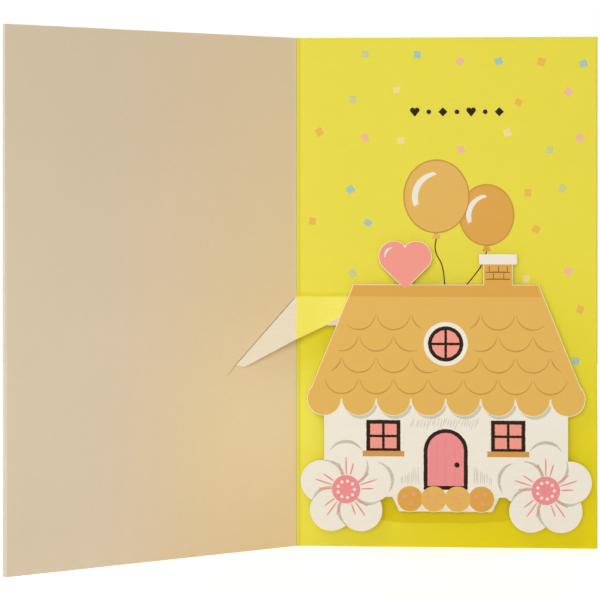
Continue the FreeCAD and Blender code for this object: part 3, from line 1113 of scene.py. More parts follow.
def filled(outlines: list[Outline], height: float) -> bpy.types.Object:
    """Draw the filled inside of one or more outlines. An outline inside another one is a hole.

    Args:
        outlines: each outline's points.
        height: the print's thickness.

    Returns:
        The flat print.
    """
    curve = bpy.data.curves.new("outline", "CURVE")
    curve.dimensions = "2D"
    curve.fill_mode = "BOTH"
    curve.extrude = height / 2
    for outline in outlines:
        spline = curve.splines.new("POLY")
        spline.points.add(len(outline) - 1)
        for point, (x, y) in zip(spline.points, outline):
            point.co = (x, y, 0.0, 1.0)
        spline.use_cyclic_u = True
    piece = bpy.data.objects.new("outline", curve)
    bpy.context.scene.collection.objects.link(piece)
    settle(piece)
    bpy.ops.object.convert(target="MESH")
    piece = bpy.context.object
    bpy.ops.object.mode_set(mode="EDIT")
    bpy.ops.mesh.select_all(action="SELECT")
    bpy.ops.mesh.remove_doubles(threshold=1e-5)
    bpy.ops.mesh.normals_make_consistent(inside=False)
    bpy.ops.object.mode_set(mode="OBJECT")
    piece.location = (0.0, 0.0, height / 2)
    bpy.ops.object.transform_apply(location=True, rotation=False, scale=False)
    return piece


def stroked(
    lines: list[Outline], width: float, height: float, taper: float = 1.0, closed: bool = False
) -> bpy.types.Object:
    """Draw pencil or brush lines with round ends.

    Args:
        lines: each line's points; the line is smooth between them.
        width: the line's width at its thickest.
        height: how high its top stands over the paper.
        taper: the width of its two ends, as a share of the width.
        closed: whether each line runs back to its start.

    Returns:
        All the lines as one flat print.
    """
    curve = bpy.data.curves.new("stroke", "CURVE")
    curve.dimensions = "3D"
    curve.bevel_depth = width / 2
    curve.bevel_resolution = 1
    curve.resolution_u = 4
    curve.use_fill_caps = True
    for line in lines:
        spline = curve.splines.new("NURBS")
        spline.points.add(len(line) - 1)
        last = len(line) - 1
        for index, (point, (x, y)) in enumerate(zip(spline.points, line)):
            point.co = (x, y, 0.0, 1.0)
            fullness = 1.0 if closed else min(1.0, LINE_SWELL * min(index, last - index) / last)
            point.radius = taper + (1.0 - taper) * fullness
        spline.order_u = 3
        spline.use_endpoint_u = not closed
        spline.use_cyclic_u = closed
    piece = bpy.data.objects.new("stroke", curve)
    bpy.context.scene.collection.objects.link(piece)
    settle(piece)
    bpy.ops.object.convert(target="MESH")
    piece = bpy.context.object
    piece.scale = (1.0, 1.0, LINE_BODY / width)
    piece.location = (0.0, 0.0, height - LINE_BODY / 2)
    bpy.ops.object.transform_apply(location=True, rotation=False, scale=True)
    return piece


@dataclass(frozen=True)
class Spot:
    """Where one copy of a flat print lands on its drawing.

    Attributes:
        x: place across the drawing, in millimetres.
        y: height on the drawing, in millimetres.
        turn: its turn, in degrees.
        wide: its width, as a share of the model's.
        tall: its height, as a share of the model's.
        thick: its thickness, as a share of the model's.
    """

    x: float
    y: float
    turn: float = 0.0
    wide: float = 1.0
    tall: float = 1.0
    thick: float = 1.0


def spread(model: bpy.types.Object, spots: list[Spot]) -> bpy.types.Object:
    """Copy a flat print to its spots, each copy with its own mesh, and join the copies.

    Args:
        model: the print, drawn about the drawing's zero. It becomes the last copy.
        spots: where the copies land.

    Returns:
        All the copies as one flat print.
    """
    copies = []
    for spot in spots:
        copy = model
        settle(model)
        if spot is not spots[-1]:
            bpy.ops.object.duplicate(linked=False)
            copy = bpy.context.object
        copy.scale = (spot.wide, spot.tall, spot.thick)
        copy.rotation_euler = (0.0, 0.0, math.radians(spot.turn))
        copy.location = (spot.x, spot.y, 0.0)
        bpy.ops.object.transform_apply(location=True, rotation=True, scale=True)
        copies.append(copy)
    return gathered(copies)


@dataclass(frozen=True)
class Press:
    """Lays flat prints on one face of the card that looks along -Y.

    Attributes:
        x: place of the drawing's zero along the face, in millimetres.
        face: the face's y, in millimetres.
        z: height of the drawing's zero, in millimetres.
    """

    x: float
    face: float
    z: float

    def lay(self, piece: bpy.types.Object, name: str, ink: Ink) -> bpy.types.Object:
        """Stand a flat print up on the face, with its place in its mesh, and ink it.

        Args:
            piece: the flat print.
            name: the piece's name.
            ink: its finish.

        Returns:
            The same piece, riding on the card.
        """
        settle(piece)
        piece.name = name
        piece.data.name = name
        piece.rotation_euler = (math.pi / 2, 0.0, 0.0)
        piece.scale = (MM, MM, MM)
        piece.location = (self.x * MM, self.face * MM, self.z * MM)
        bpy.ops.object.transform_apply(location=True, rotation=True, scale=True)
        piece.data.materials.clear()
        piece.data.materials.append(ink.material())
        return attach(piece, "root")


class Print(Protocol):
    """What each printed motif can do."""

    def build(self) -> list[bpy.types.Object]:
        """Print the motif and return its pieces."""


# The prints on the right page.


@dataclass(frozen=True)
class Balloon:
    """One party balloon on the page behind the roof.

    Attributes:
        press: where it is printed.
        name: the balloon's name.
        middle: place of its middle on the page.
        radius: half its width.
        ink: the colour of its skin.
        foot: where its string ends.
        low: height of its first layer over the page.
        plump: its height, as a share of its width.
        knot_half: half the width of its knot.
        knot: height of its knot.
        neck: half the width of the knot's neck, as a share of the knot's, and how far it reaches up.
        outline: width of its outline.
        inset: how far the outline lies inside the skin's edge.
        string: width of its string.
        bend: how far the string bends to the left and down below the knot.
        sway: how far the string's middle strays to the right.
        knot_step: height of the knot's top over the first layer's.
        gleam_step: height of the gleam's top over it.
        outline_step: height of the outline's top over it.
        gleam_radii: radii of the gleam's outer and inner curves, as shares of the balloon's.
        gleam_slide: how far the inner curve is slid, as shares of the balloon's radius.
    """

    press: Press
    name: str
    middle: Point
    radius: float
    ink: Ink
    foot: Point
    low: float
    plump: float = 1.12
    knot_half: float = 1.6
    knot: float = 1.9
    neck: Point = (0.3, 0.6)
    outline: float = 0.45
    inset: float = 0.1
    string: float = 0.4
    bend: Point = (1.2, 4.0)
    sway: float = 1.5
    knot_step: float = -0.005
    gleam_step: float = 0.02
    outline_step: float = 0.025
    gleam_radii: Point = (0.74, 0.72)
    gleam_slide: Point = (0.16, -0.05)

    def gleam(self) -> Outline:
        """Draw the crescent of light on the upper left of the skin.

        Returns:
            Its outline.
        """
        x, y = self.middle
        slid = (x + self.radius * self.gleam_slide[0], y + self.radius * self.gleam_slide[1])
        outer = arc((x, y), self.radius * self.gleam_radii[0], 95.0, 205.0, 16)
        inner = arc(slid, self.radius * self.gleam_radii[1], 195.0, 102.0, 16)
        return drawn(outer + inner, int(self.radius), 0.05)

    def build(self) -> list[bpy.types.Object]:
        """Print the string, the knot, the skin, its gleam and its outline.

        Returns:
            The pieces.
        """
        x, y = self.middle
        tall = self.radius * self.plump
        skin = spread(disc((self.radius, tall), self.low, 56), [Spot(x, y)])
        tie = y - tall
        half, neck = self.knot_half, self.knot_half * self.neck[0]
        knot = [
            (x - half, tie - self.knot), (x + half, tie - self.knot),
            (x + neck, tie + self.neck[1]), (x - neck, tie + self.neck[1]),
        ]
        rim = ring((self.radius - self.inset, tall - self.inset), 24)
        edge = stroked([rim], self.outline, self.low + self.outline_step, closed=True)
        start = (x, tie - self.knot)
        string = [
            start,
            (x - self.bend[0], start[1] - self.bend[1]),
            ((x + self.foot[0]) / 2 + self.sway, (start[1] + self.foot[1]) / 2),
            self.foot,
        ]
        return [
            self.press.lay(stroked([string], self.string, self.low), f"{self.name}_string", BROWN),
            self.press.lay(filled([knot], self.low + self.knot_step), f"{self.name}_knot", self.ink),
            self.press.lay(skin, f"{self.name}_skin", self.ink),
            self.press.lay(filled([self.gleam()], self.low + self.gleam_step), f"{self.name}_gleam", CREAM),
            self.press.lay(spread(edge, [Spot(x, y)]), f"{self.name}_outline", DEEP_TAN),
        ]


@dataclass(frozen=True)
class OrnamentRow:
    """A short row of small dark marks near the top of the page.

    Attributes:
        press: where it is printed.
        height: height of the row on the page.
        left: place of the first mark.
        pitch: distance between two marks.
        size: a heart's width.
        lobe: radius of a heart's lobes, as a share of half its width.
        lobe_place: where they stand, as shares of half its width.
        dot: radius of a dot, as a share of half a heart's width.
        diamond: side of a diamond, as a share of half a heart's width.
        order: the marks from left to right.
    """

    press: Press
    height: float = 152.0
    left: float = 41.5
    pitch: float = 4.9
    size: float = 3.4
    lobe: float = 0.52
    lobe_place: Point = (0.46, 0.36)
    dot: float = 0.48
    diamond: float = 1.32
    order: tuple[Mark, ...] = (
        Mark.HEART, Mark.DOT, Mark.DIAMOND, Mark.DOT, Mark.HEART, Mark.DOT, Mark.DIAMOND,
    )

    def model(self, mark: Mark) -> bpy.types.Object:
        """Draw one mark about the drawing's zero.

        Args:
            mark: its kind.

        Returns:
            The flat print.
        """
        half = self.size / 2
        if mark is Mark.HEART:
            aside, above = half * self.lobe_place[0], half * self.lobe_place[1]
            lobes = arc((aside, above), half * self.lobe, -30.0, 165.0, 8)
            lobes += arc((-aside, above), half * self.lobe, 15.0, 210.0, 8)
            return filled([lobes + [(0.0, -half)]], Level.FIELD.value)
        if mark is Mark.DOT:
            return disc((half * self.dot, half * self.dot), Level.FIELD.value, 20)
        return tile((half * self.diamond, half * self.diamond), Level.FIELD.value, 0.2)

    def build(self) -> list[bpy.types.Object]:
        """Print the row.

        Returns:
            Its one piece.
        """
        rows = []
        for mark in Mark:
            turn = 45.0 if mark is Mark.DIAMOND else 0.0
            places = [index for index, kind in enumerate(self.order) if kind is mark]
            spots = [Spot(self.left + index * self.pitch, self.height, turn) for index in places]
            rows.append(spread(self.model(mark), spots))
        return [self.press.lay(gathered(rows), "ornament_row", BROWN)]


@dataclass(frozen=True)
class Ground:
    """The deeper yellow ground that is brushed on the page under the house: a print that is also a painted
    shadow of the figure.

    Attributes:
        press: where it is printed.
        middle: place of its middle on the page.
        radii: its half width and half height.
        brush: width of the strokes at its ends.
        strokes: how many strokes each end has.
        first: where the first stroke starts, in from the end and below the middle.
        shift: how far the next stroke is moved out and up.
        bow: where a stroke bends, out and up from its start.
        reach: length of a stroke.
        fall: how far its end falls.
        stray: how far the ground's edge strays, as a share of its size.
        blunt: how blunt its ends are: 1 is a plain oval, and less is blunter.
    """

    press: Press
    middle: Point = (51.5, 14.0)
    radii: Point = (33.0, 5.6)
    brush: float = 1.6
    strokes: int = 3
    first: Point = (5.0, 3.4)
    shift: Point = (2.5, 2.1)
    bow: Point = (4.0, 0.3)
    reach: float = 8.5
    fall: float = 0.2
    stray: float = 0.03
    blunt: float = 0.7

    def build(self) -> list[bpy.types.Object]:
        """Print the ground as one brushed shape, with a few strokes past its ends.

        Returns:
            The pieces.
        """
        hand = random.Random(SEED + 7)
        x, y = self.middle
        outline = []
        for step in range(72):
            aim = math.radians(step * 5.0)
            stray = 1.0 + hand.uniform(-self.stray, self.stray)
            blunt = math.copysign(abs(math.cos(aim)) ** self.blunt, math.cos(aim))
            outline.append((x + self.radii[0] * stray * blunt, y + self.radii[1] * stray * math.sin(aim)))
        strokes = []
        for side in (-1, 1):
            for index in range(self.strokes):
                start = x + side * (self.radii[0] - self.first[0] + self.shift[0] * index)
                low = y - self.first[1] + self.shift[1] * index
                bent = (start + side * self.bow[0], low + self.bow[1])
                strokes.append([(start, low), bent, (start + side * self.reach, low - self.fall)])
        # Printed ground, also a painted shadow of the figure on the page.
        field = filled([drawn(outline, 90, 0.08)], Level.GROUND.value)
        ends = stroked(strokes, self.brush, Level.GROUND.value, taper=0.3)
        return [
            self.press.lay(field, "ground_field", GROUND_SHADOW_YELLOW),
            self.press.lay(ends, "ground_strokes", GROUND_SHADOW_YELLOW),
        ]


@dataclass(frozen=True)
class Confetti:
    """Small paper squares, scattered by a seeded hand over the open part of the page.

    Attributes:
        press: where they are printed.
        pitch: mean distance between two squares, across and up.
        low: place of the first square.
        high: the page's far corner.
        side: a square's side.
        stray: how far a square strays from its place.
        tilt: how far it is turned at most, in degrees.
        stretch: its least and greatest width and height, as shares of the side.
        corner: how much its corners are rounded.
        margin: how far the squares stay from the far corner's side.
        taken: the left, low, right and high sides of what else is printed or stands there: the balloons,
            the row of marks, the strip and the figure.
    """

    press: Press
    pitch: Point = (15.5, 15.0)
    low: Point = (9.0, 52.0)
    high: Point = (102.0, 173.0)
    side: float = 2.4
    stray: float = 3.4
    tilt: float = 35.0
    stretch: Point = (0.92, 1.12)
    corner: float = 0.15
    margin: float = 1.0
    taken: tuple[Box, ...] = (
        (34.0, 86.0, 79.0, 138.0), (37.0, 146.5, 75.5, 157.5),
        (0.0, 62.0, 20.0, 92.0), (14.0, 0.0, 90.0, 90.0),
    )

    def is_free(self, place: Point) -> bool:
        """Tell whether a square's middle would lie clear of everything else."""
        x, z = place
        return not any(left < x < right and low < z < high for left, low, right, high in self.taken)

    def spots(self) -> dict[str, list[Spot]]:
        """Scatter the squares.

        Returns:
            The squares of each colour, by the ink's name.
        """
        hand = random.Random(SEED)
        by_ink: dict[str, list[Spot]] = {ink.name: [] for ink in CONFETTI_INKS}
        rows = int((self.high[1] - self.low[1]) / self.pitch[1]) + 1
        columns = int((self.high[0] - self.low[0]) / self.pitch[0]) + 1
        last = None
        for row in range(rows):
            for column in range(columns):
                shift = 0.5 * (row % 2)
                x = self.low[0] + (column + shift) * self.pitch[0] + hand.uniform(-self.stray, self.stray)
                z = self.low[1] + row * self.pitch[1] + hand.uniform(-self.stray, self.stray)
                ink = hand.choice([each for each in CONFETTI_INKS if each is not last])
                turn = hand.uniform(-self.tilt, self.tilt)
                wide, tall = hand.uniform(*self.stretch), hand.uniform(*self.stretch)
                if x < self.high[0] - self.margin and z < self.high[1] and self.is_free((x, z)):
                    last = ink
                    by_ink[ink.name].append(Spot(x, z, turn, wide, tall))
        return by_ink

    def build(self) -> list[bpy.types.Object]:
        """Print the squares, one piece for each colour.

        Returns:
            The pieces.
        """
        by_ink = self.spots()
        pieces = []
        for ink in CONFETTI_INKS:
            square = tile((self.side, self.side), Level.GROUND.value, self.corner)
            pieces.append(self.press.lay(spread(square, by_ink[ink.name]), ink.name, ink))
        return pieces


# The prints on the die-cut figure. Their drawing's zero is the figure's middle at its foot.


@dataclass(frozen=True)
class HousePlan:
    """Sizes of the die-cut figure, in millimetres over its foot and from its middle.

    Attributes:
        eaves: height of the eaves.
        eaves_half: half the roof's width at the eaves.
        ridge: height of the ridge.
        ridge_half: half the roof's width at the ridge.
        wall_half: half the wall's width.
        wall_foot: height of the wall's foot.
        scallop: radius of a scallop of the eaves.
        scallops: how many scallops there are.
        chimney: place of the chimney's middle.
        chimney_half: half the chimney's width.
        chimney_top: height of the chimney's top.
        cap_half: half the width of the chimney's cap.
        cap: height of that cap.
        blossom: how far each blossom stands from the middle.
        blossom_height: height of the blossoms' middles.
        petal: radius of a petal.
        petal_ring: how far the petals' middles stand from the blossom's.
        petals: how many petals a blossom has.
        heart: place of the heart's middle.
        heart_middle: height of the middle of the heart's square.
        heart_lobe: radius of the heart's lobes.
        bush_pitch: distance between two bushes.
        bush: radius of a bush.
        bush_height: height of the bushes' middles.
        rim: how far a print stays inside the die-cut edge.
    """

    eaves: float = 46.0
    eaves_half: float = 48.0
    ridge: float = 85.5
    ridge_half: float = 32.0
    wall_half: float = 42.0
    wall_foot: float = 12.0
    scallop: float = 6.0
    scallops: int = 8
    chimney: float = 18.0
    chimney_half: float = 5.0
    chimney_top: float = 96.0
    cap_half: float = 6.5
    cap: float = 3.5
    blossom: float = 34.4
    blossom_height: float = 14.52
    petal: float = 7.4
    petal_ring: float = 8.8
    petals: int = 5
    heart: float = -14.0
    heart_middle: float = 91.34
    heart_lobe: float = 5.4
    bush_pitch: float = 8.2
    bush: float = 4.6
    bush_height: float = 11.4
    rim: float = 0.2

    def roof_half(self, height: float) -> float:
        """Return half the roof's width at a height."""
        share = (height - self.eaves) / (self.ridge - self.eaves)
        return self.eaves_half + (self.ridge_half - self.eaves_half) * share

    def scallop_middle(self, index: int) -> Point:
        """Return the middle of one scallop of the eaves, counted from the right."""
        return (self.eaves_half - self.scallop * (2 * index + 1), self.eaves)


@dataclass(frozen=True)
class Wall:
    """The cream wall with its door, two windows and pencil shading.

    Attributes:
        press: where it is printed.
        plan: the figure's sizes.
        door_half: half the door's width, with its frame.
        door_foot: height of the door's foot.
        door_top: height of the door's top.
        frame: width of the dark frames.
        bar: width of the windows' bars.
        window_offset: how far each window stands from the middle.
        window_half: half a window's width.
        window_foot: height of a window's foot.
        window_top: height of a window's top.
        board_line: width of the lines between the door's boards.
        boards: place of each such line, and how far it stops below the door's top.
        board_foot: how far these lines start over the door's foot.
        board_bend: how far they stray aside, and how far up.
        knob: place of the door's knob.
        knob_radius: its radius.
        sill: how far a sill reaches past its window on each side, and how far up and down.
        sill_drop: how far a sill lies below its window's foot.
        pencil: width of a pencil line.
        over_door: where the pencil lines over the door start.
        over_pitch: distance between two of them.
        over_count: how many there are.
        over_long: length of the shortest and the longest one.
        beside_door: where the pencil lines beside the door start, and their foot.
        beside_pitch: distance between two of them.
        beside_count: how many there are on each side.
        beside_long: length of the first one.
        beside_loss: how much shorter each next one is.
        shade: where the shade under a scallop of the eaves starts and ends, in degrees.
        shade_slide: how far its lower curve is slid.
    """

    press: Press
    plan: HousePlan
    door_half: float = 7.6
    door_foot: float = 14.6
    door_top: float = 35.6
    frame: float = 1.35
    bar: float = 0.9
    window_offset: float = 21.5
    window_half: float = 5.9
    window_foot: float = 27.5
    window_top: float = 38.6
    board_line: float = 0.4
    boards: tuple[Point, ...] = ((-3.1, 2.4), (0.0, 1.3), (3.1, 2.4))
    board_foot: float = 2.2
    board_bend: Point = (0.1, 9.0)
    knob: Point = (3.9, 23.2)
    knob_radius: float = 0.9
    sill: Place = (1.3, 0.9, 1.0)
    sill_drop: float = 0.5
    pencil: float = 0.34
    over_door: Point = (-11.5, 39.0)
    over_pitch: float = 0.92
    over_count: int = 26
    over_long: Point = (2.0, 3.6)
    beside_door: Point = (9.6, 16.5)
    beside_pitch: float = 0.75
    beside_count: int = 9
    beside_long: float = 6.0
    beside_loss: float = 0.5
    shade: Point = (-18.0, -150.0)
    shade_slide: Point = (0.7, -1.1)

    def arch(self, inset: float) -> Outline:
        """Outline the arched door.

        Args:
            inset: how far the outline is drawn in.

        Returns:
            The outline's points.
        """
        half = self.door_half - inset
        foot = self.door_foot + inset
        curve = arc((0.0, self.door_top - self.door_half), half, 0.0, 180.0, 20)
        return [(-half, foot), (half, foot)] + curve

    def build(self) -> list[bpy.types.Object]:
        """Print the wall, then what is on it.

        Returns:
            The pieces.
        """
        plan = self.plan
        half = plan.wall_half - plan.rim
        outline = box_outline(-half, plan.wall_foot + plan.rim, half, plan.eaves - 1.0)
        wall = self.press.lay(filled([outline], Level.GROUND.value), "wall_field", CREAM)
        return [wall] + self.door() + self.windows() + self.shading()

    def door(self) -> list[bpy.types.Object]:
        """Print the arched door with its dark frame, its boards and its knob.

        Returns:
            The pieces.
        """
        boards = []
        for x, below in self.boards:
            top = self.door_top - self.frame - below
            bent = (x + self.board_bend[0], self.door_foot + self.board_bend[1])
            boards.append([(x, self.door_foot + self.board_foot), bent, (x, top)])
        knob = spread(disc((self.knob_radius, self.knob_radius), Level.LINE.value, 20), [Spot(*self.knob)])
        return [
            self.press.lay(filled([drawn(self.arch(0.0), 1)], Level.SHAPE.value), "door_frame", BROWN),
            self.press.lay(filled([drawn(self.arch(self.frame), 2)], Level.PANEL.value), "door_panel", ROSE),
            self.press.lay(
                stroked(boards, self.board_line, Level.DETAIL.value, taper=0.4), "door_boards", PINK
            ),
            self.press.lay(knob, "door_knob", BROWN),
        ]

    def windows(self) -> list[bpy.types.Object]:
        """Print both windows: a dark frame, four pink panes and a sill each.

        Returns:
            The pieces.
        """
        half = self.window_half
        rise = (self.window_top - self.window_foot) / 2
        middle = (self.window_foot + self.window_top) / 2
        both = [Spot(-self.window_offset, middle), Spot(self.window_offset, middle, 180.0)]
        frames = spread(filled([drawn(box_outline(-half, -rise, half, rise), 10)], Level.SHAPE.value), both)
        wide = half - self.frame - self.bar / 2
        tall = rise - self.frame - self.bar / 2
        pane = filled([drawn(box_outline(-wide / 2, -tall / 2, wide / 2, tall / 2), 11)], Level.PANEL.value)
        spots = []
        for window in both:
            for across in (-1, 1):
                for up in (-1, 1):
                    x = window.x + across * (wide + self.bar) / 2
                    spots.append(Spot(x, middle + up * (tall + self.bar) / 2, 90.0 + 90.0 * across * up))
        past, above, below = self.sill
        board = box_outline(-half - past, -below, half + past, above)
        sill = filled([drawn(board, 15, 0.05)], Level.PANEL.value)
        feet = [Spot(spot.x, self.window_foot - self.sill_drop) for spot in both]
        return [
            self.press.lay(frames, "window_frames", BROWN),
            self.press.lay(spread(pane, spots), "window_panes", PINK),
            self.press.lay(spread(sill, feet), "window_sills", DEEP_TAN),
        ]

    def shading(self) -> list[bpy.types.Object]:
        """Print the short pencil lines over and beside the door, and the shade under the eaves.

        Returns:
            The pieces.
        """
        hand = random.Random(SEED + 1)
        lines = []
        for index in range(self.over_count):
            x = self.over_door[0] + index * self.over_pitch + hand.uniform(-0.2, 0.2)
            top = self.over_door[1] + hand.uniform(-0.4, 0.8)
            long = hand.uniform(*self.over_long)
            lines.append([(x, top), (x - 0.3, top - long / 2), (x - 0.8, top - long)])
        for side in (-1, 1):
            for index in range(self.beside_count):
                x = side * (self.beside_door[0] + index * self.beside_pitch + hand.uniform(-0.15, 0.15))
                foot = self.beside_door[1] + hand.uniform(-0.4, 0.6)
                top = foot + self.beside_long - index * self.beside_loss
                lines.append([(x, top), (x + 0.2, foot + self.beside_long / 2), (x + 0.1, foot)])
        scallop = self.plan.scallop
        start, end = self.shade
        shade = arc((0.0, 0.0), scallop, start, end, 16)
        shade += arc(self.shade_slide, scallop - 0.1, end - 2.0, start + 2.0, 16)
        spots = [Spot(*self.plan.scallop_middle(index)) for index in range(1, self.plan.scallops - 1)]
        shades = spread(filled([drawn(shade, 61, 0.04)], Level.SHADE.value), spots)
        return [
            self.press.lay(stroked(lines, self.pencil, Level.FIELD.value, taper=0.3), "wall_pencil", PENCIL),
            self.press.lay(shades, "eaves_shade", PENCIL),
        ]


@dataclass(frozen=True)
class Roof:
    """The tan roof: its field, courses of scalloped shingles, a ridge board and a round window.

    Attributes:
        press: where it is printed.
        plan: the figure's sizes.
        course: height of one course of shingles.
        pencil: width of the shingles' lines.
        board: height of the ridge board.
        window: height of the round window's middle.
        window_radius: half its width, with its pale frame.
        pale_frame: width of its pale frame.
        dark_frame: width of its dark frame.
        bar: half the width of its bars.
        clear: how far the shingles' lines stay from the window and the roof's sides.
        shingle: radius of a shingle, as a share of a scallop's.
        shingle_ends: where a shingle's line starts and ends, in degrees.
        fewest: how many points a cut-off line has at least.
        board_inset: how far the ridge board's foot stays inside the roof's sides.
    """

    press: Press
    plan: HousePlan
    course: float = 7.4
    pencil: float = 0.45
    board: float = 4.2
    window: float = 65.0
    window_radius: float = 7.6
    pale_frame: float = 1.5
    dark_frame: float = 1.3
    bar: float = 0.45
    clear: float = 1.4
    shingle: float = 0.96
    shingle_ends: Point = (-8.0, -172.0)
    fewest: int = 5
    board_inset: float = 0.8

    def outline(self) -> Outline:
        """Return the roof's outline inside the die-cut edge, with its scalloped eaves.

        Returns:
            The outline's points.
        """
        plan = self.plan
        top = plan.ridge - plan.rim
        half = plan.roof_half(top) - plan.rim
        bulge = 2 * math.degrees(math.atan2(plan.eaves_half - plan.ridge_half, plan.ridge - plan.eaves))
        points = [(-half, top), (half, top)]
        for index in range(plan.scallops):
            start = bulge if index == 0 else 0.0
            end = -180.0 - (bulge if index == plan.scallops - 1 else 0.0)
            points += arc(plan.scallop_middle(index), plan.scallop - plan.rim, start, end, 14)
        return points

    def shingles(self) -> list[Outline]:
        """Return the lines of the shingles, in courses that stand half a shingle apart.

        Returns:
            One list of points for each line, cut off at the roof's sides and at the window.
        """
        plan = self.plan
        middle = (0.0, self.window)
        lines = []
        for course in range(1, int((plan.ridge - self.board - plan.eaves) / self.course) + 1):
            height = plan.eaves + course * self.course
            half = plan.roof_half(height) - self.clear
            shift = plan.scallop * (course % 2)
            for index in range(-plan.scallops, plan.scallops + 1):
                start = (2 * plan.scallop * index + shift - plan.scallop, height)
                run: Outline = []
                for point in arc(start, plan.scallop * self.shingle, *self.shingle_ends, 14) + [middle]:
                    if math.dist(point, middle) > self.window_radius + self.clear and abs(point[0]) < half:
                        run.append(point)
                    else:
                        if len(run) >= self.fewest:
                            lines.append(run)
                        run = []
        return lines

    def build(self) -> list[bpy.types.Object]:
        """Print the roof, then what is on it.

        Returns:
            The pieces.
        """
        plan = self.plan
        low, top = plan.ridge - self.board, plan.ridge - plan.rim
        low_half, top_half = plan.roof_half(low) - self.board_inset, plan.ridge_half - plan.rim
        board = [(-low_half, low), (low_half, low), (top_half, top), (-top_half, top)]
        shingles = stroked(self.shingles(), self.pencil, Level.SHAPE.value, taper=0.35)
        field = filled([drawn(self.outline(), 21, 0.03, 0.7)], Level.FIELD.value)
        return [
            self.press.lay(field, "roof_field", TAN),
            self.press.lay(shingles, "roof_shingles", DEEP_TAN),
            self.press.lay(filled([board], Level.SHAPE.value), "ridge_board", ORANGE),
        ] + self.round_window()

    def round_window(self) -> list[bpy.types.Object]:
        """Print the round window: a pale frame, a dark one, and four pink panes between two bars.

        Returns:
            The pieces.
        """
        here = [Spot(0.0, self.window)]
        pale = filled([drawn(ring((self.window_radius, self.window_radius)), 31, 0.05)], Level.SHAPE.value)
        dark_radius = self.window_radius - self.pale_frame
        dark = filled([drawn(ring((dark_radius, dark_radius)), 32)], Level.PANEL.value)
        glass = dark_radius - self.dark_frame
        aside = math.degrees(math.asin(self.bar / glass))
        pane = [(self.bar, self.bar)] + arc((0.0, 0.0), glass, aside, 90.0 - aside, 8)
        quarters = [Spot(0.0, self.window, 90.0 * quarter) for quarter in range(4)]
        panes = spread(filled([drawn(pane, 33)], Level.INSET.value), quarters)
        return [
            self.press.lay(spread(pale, here), "attic_pale_frame", CREAM),
            self.press.lay(spread(dark, here), "attic_dark_frame", BROWN),
            self.press.lay(panes, "attic_panes", PINK),
        ]


@dataclass(frozen=True)
class Chimney:
    """The chimney: an orange stack with brick lines and a cream cap.

    Attributes:
        press: where it is printed.
        plan: the figure's sizes.
        course: height of one course of bricks.
        mortar: width of the lines between the bricks.
        joints: place of each upright joint across the stack, and its course.
        first: height of the lowest course's line over the ridge.
        joint: length of an upright joint.
        joint_gap: how far it stands over its course's line.
        inset: how far the lines stay inside the stack's sides.
        bow: how far a line rises in its middle.
    """

    press: Press
    plan: HousePlan
    course: float = 2.4
    mortar: float = 0.35
    joints: tuple[tuple[float, int], ...] = ((-1.6, 0), (2.0, 0), (0.2, 1), (-3.0, 1), (3.2, 1))
    first: float = 1.9
    joint: float = 1.9
    joint_gap: float = 0.2
    inset: float = 0.8
    bow: float = 0.1

    def bricks(self) -> list[Outline]:
        """Return the lines between the bricks.

        Returns:
            One list of points for each line.
        """
        plan = self.plan
        half = plan.chimney_half - self.inset
        left, right = plan.chimney - half, plan.chimney + half
        lines = []
        for course in (0, 1):
            height = plan.ridge + self.first + course * self.course
            lines.append([(left, height), (plan.chimney, height + self.bow), (right, height)])
        for across, course in self.joints:
            foot = plan.ridge + self.first + self.joint_gap + course * self.course
            lines.append([(plan.chimney + across, foot), (plan.chimney + across, foot + self.joint)])
        return lines

    def build(self) -> list[bpy.types.Object]:
        """Print the chimney.

        Returns:
            The pieces.
        """
        plan = self.plan
        stack_top = plan.chimney_top - plan.cap
        half, cap_half = plan.chimney_half - plan.rim, plan.cap_half - plan.rim
        stack = box_outline(plan.chimney - half, plan.ridge - plan.rim, plan.chimney + half, stack_top)
        left, right = plan.chimney - cap_half, plan.chimney + cap_half
        cap = box_outline(left, stack_top + plan.rim, right, plan.chimney_top - plan.rim)
        mortar = stroked(self.bricks(), self.mortar, Level.DETAIL.value, taper=0.5)
        return [
            self.press.lay(filled([stack], Level.SHAPE.value), "chimney_stack", ORANGE),
            self.press.lay(filled([cap], Level.SHAPE.value), "chimney_cap", CREAM),
            self.press.lay(mortar, "chimney_bricks", BROWN),
        ]


@dataclass(frozen=True)
class Bushes:
    """The low bushes under the wall, with small pink flowers.

    Attributes:
        press: where they are printed.
        plan: the figure's sizes.
        flower: a flower's radius.
        flowers: places of the flowers on one bush.
        low: height of the lowest bush's print over the figure.
        over: how much thicker the print of a bush is than the one it laps over, as a share.
    """

    press: Press
    plan: HousePlan
    flower: float = 0.62
    flowers: tuple[Point, ...] = ((-1.7, 0.9), (1.3, 1.6), (0.3, -1.5))
    low: float = 0.09
    over: float = 0.04

    def build(self) -> list[bpy.types.Object]:
        """Print the outer pair of bushes, the inner pair and the flowers.

        Returns:
            The pieces.
        """
        plan = self.plan
        radius = plan.bush - plan.rim
        pairs = {"outer_bushes": (1.5, ORANGE, 1.0), "inner_bushes": (0.5, TAN, 1.0 + 2 * self.over)}
        pieces = []
        flowers = []
        for name, (steps, ink, thick) in pairs.items():
            spots = []
            for side in (-1, 1):
                place = side * steps * plan.bush_pitch
                spots.append(Spot(place, plan.bush_height, thick=thick + self.over * (side > 0)))
                flowers += [Spot(place + across, plan.bush_height + up) for across, up in self.flowers]
            bush = disc((radius, radius), self.low)
            pieces.append(self.press.lay(spread(bush, spots), name, ink))
        flower = disc((self.flower, self.flower), Level.LINE.value, 14)
        pieces.append(self.press.lay(spread(flower, flowers), "bush_flowers", PINK))
        return pieces


